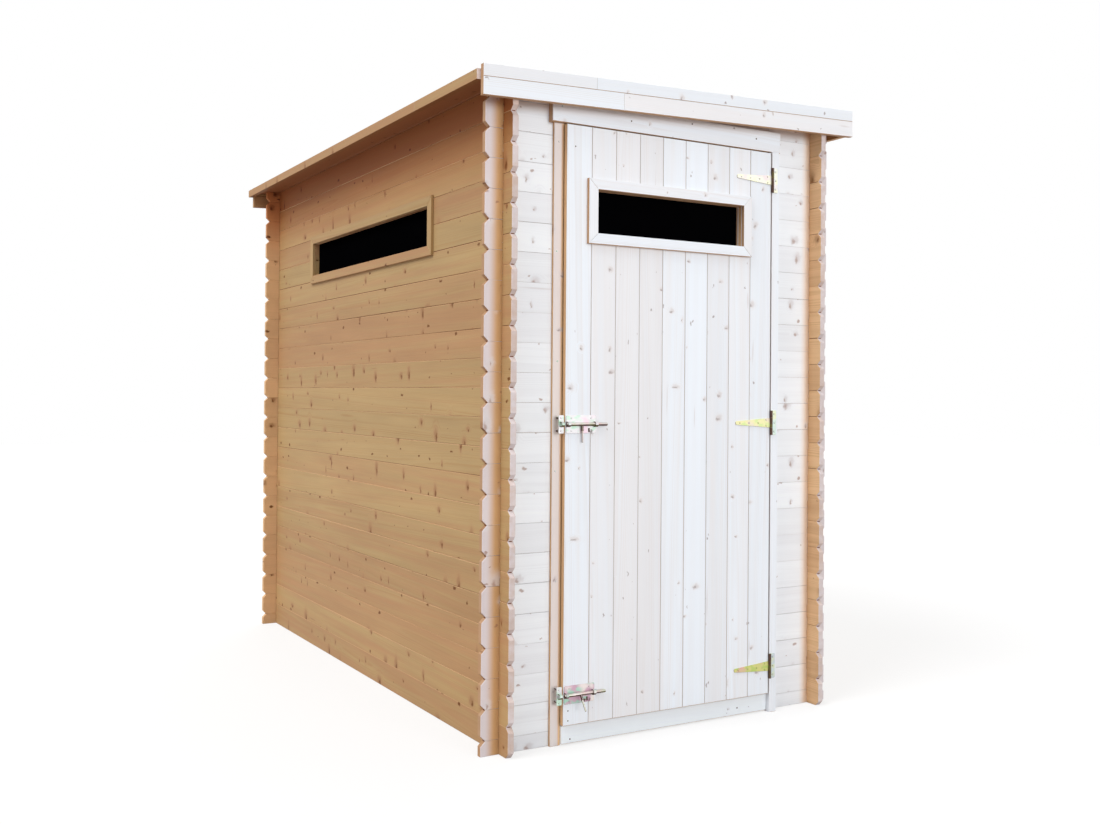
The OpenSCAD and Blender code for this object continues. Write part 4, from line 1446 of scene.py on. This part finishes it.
class SHED_OT_studio(bpy.types.Operator):
    """Set the pale floor, the soft lamps, the backdrop and the camera"""
    bl_idname = "shed.studio"
    bl_label = "Studio"
    bl_options = {"REGISTER", "UNDO"}

    def execute(self, context):
        studio = context.scene.shed_studio
        self.world(context, studio)
        self.floor(context, studio)
        for name in LAMPS:
            self.lamp(context, name, getattr(studio, name + "_light"))
        self.camera(context, studio)
        context.scene.view_settings.view_transform = "Standard"
        return {"FINISHED"}

    def seen(self, graph):
        """Is this a ray that shows the backdrop: straight, mirrored or through a pane?"""
        path = graph.node("LightPath").outputs
        either = graph.math("MAXIMUM", path["Is Camera Ray"], path["Is Glossy Ray"])
        return graph.math("MAXIMUM", either, path["Is Transmission Ray"])

    def world(self, context, studio):
        """Even light from all round, before a backdrop of the floor's colour."""
        world = bpy.data.worlds.new("studio_light")
        context.scene.world = world
        world.use_nodes = True
        graph = Graph(world.node_tree)
        light = graph.tree.nodes["Background"]
        graph.feed(light.inputs["Color"], (1, 1, 1, 1))
        graph.feed(light.inputs["Strength"], studio.ambient)
        backdrop = graph.node("Background", {"Color": as_rgba(colours().paper)})
        mix = graph.node("MixShader", {0: self.seen(graph), 1: light.outputs[0],
                                       2: backdrop.outputs[0]})
        graph.feed(graph.tree.nodes["World Output"].inputs["Surface"], mix.outputs[0])

    def floor(self, context, studio):
        """A floor that glows like the backdrop under a faint shadow, and bounces less."""
        bm = bmesh.new()
        bmesh.ops.create_grid(bm, x_segments=1, y_segments=1, size=20)
        bmesh.ops.translate(bm, vec=(0, 0, -FLOOR_DROP), verts=bm.verts)
        mesh = bpy.data.meshes.new("studio_floor")
        bm.to_mesh(mesh)
        bm.free()
        obj = bpy.data.objects.new("studio_floor", mesh)
        context.scene.collection.objects.link(obj)
        material = bpy.data.materials.new("studio_floor")
        material.use_nodes = True
        graph = Graph(material.node_tree)
        graph.tree.nodes.remove(graph.tree.nodes["Principled BSDF"])
        paper = as_rgba(colours().paper)
        glow = graph.node("Emission", {"Color": paper}).outputs[0]
        lit = graph.node("BsdfDiffuse", {"Color": paper}).outputs[0]
        shown = graph.node("MixShader", {0: studio.shadow, 1: glow, 2: lit}).outputs[0]
        dim = graph.node("BsdfDiffuse", {"Color": BOUNCE}).outputs[0]
        mix = graph.node("MixShader", {0: self.seen(graph), 1: dim, 2: shown}).outputs[0]
        graph.feed(graph.tree.nodes["Material Output"].inputs["Surface"], mix)
        mesh.materials.append(material)

    def lamp(self, context, name, level):
        """A soft sun that adds level to a wall it faces."""
        azimuth, elevation, spread = (math.radians(angle) for angle in LAMPS[name])
        data = bpy.data.lights.new(name + "_lamp", "SUN")
        data.energy = level * math.pi / math.cos(elevation)
        data.angle = spread
        obj = bpy.data.objects.new(name + "_lamp", data)
        context.scene.collection.objects.link(obj)
        turn = Matrix.Rotation(azimuth, 4, "Z")
        obj.matrix_world = turn @ Matrix.Rotation(math.pi / 2 - elevation, 4, "X")

    def camera(self, context, studio):
        data = bpy.data.cameras.new("camera")
        data.lens = studio.lens
        data.sensor_width = 36
        data.shift_x, data.shift_y = CAMERA_SHIFT
        data.clip_end = 100
        obj = bpy.data.objects.new("camera", data)
        context.scene.collection.objects.link(obj)
        place = Matrix.Translation(CAMERA_PLACE)
        for degrees, axis in CAMERA_TURNS:
            place = place @ Matrix.Rotation(math.radians(degrees), 4, axis)
        obj.matrix_world = place
        context.scene.camera = obj


class SHED_PT_panel(bpy.types.Panel):
    """Lists the shed's pieces in the order they are built"""
    bl_idname = "SHED_PT_panel"
    bl_label = "Garden Shed"
    bl_space_type = "VIEW_3D"
    bl_region_type = "UI"
    bl_category = "Garden Shed"

    def draw(self, context):
        column = self.layout.column()
        for operator in OPERATORS:
            column.operator(operator.bl_idname)
        for group in (context.scene.shed_sizes, context.scene.shed_colours,
                      context.scene.shed_studio):
            box = self.layout.box()
            for name in group.bl_rna.properties.keys():
                if name not in ("rna_type", "name"):
                    box.prop(group, name)


OPERATORS = (SHED_OT_walls, SHED_OT_floor, SHED_OT_roof, SHED_OT_doorframe, SHED_OT_door,
             SHED_OT_windows, SHED_OT_hinges, SHED_OT_bolts, SHED_OT_nails, SHED_OT_studio)
GROUPS = {"shed_sizes": ShedSizes, "shed_colours": ShedColours, "shed_studio": ShedStudio}


def register():
    for cls in (*GROUPS.values(), *OPERATORS, SHED_PT_panel):
        bpy.utils.register_class(cls)
    for name, cls in GROUPS.items():
        setattr(bpy.types.Scene, name, PointerProperty(type=cls))


def unregister():
    for name in GROUPS:
        delattr(bpy.types.Scene, name)
    for cls in reversed((*GROUPS.values(), *OPERATORS, SHED_PT_panel)):
        bpy.utils.unregister_class(cls)


def main():
    register()
    for operator in OPERATORS:
        group, name = operator.bl_idname.split(".")
        if getattr(getattr(bpy.ops, group), name)() != {"FINISHED"}:
            raise RuntimeError(operator.bl_label + " could not be built")


if __name__ == "__main__":
    main()
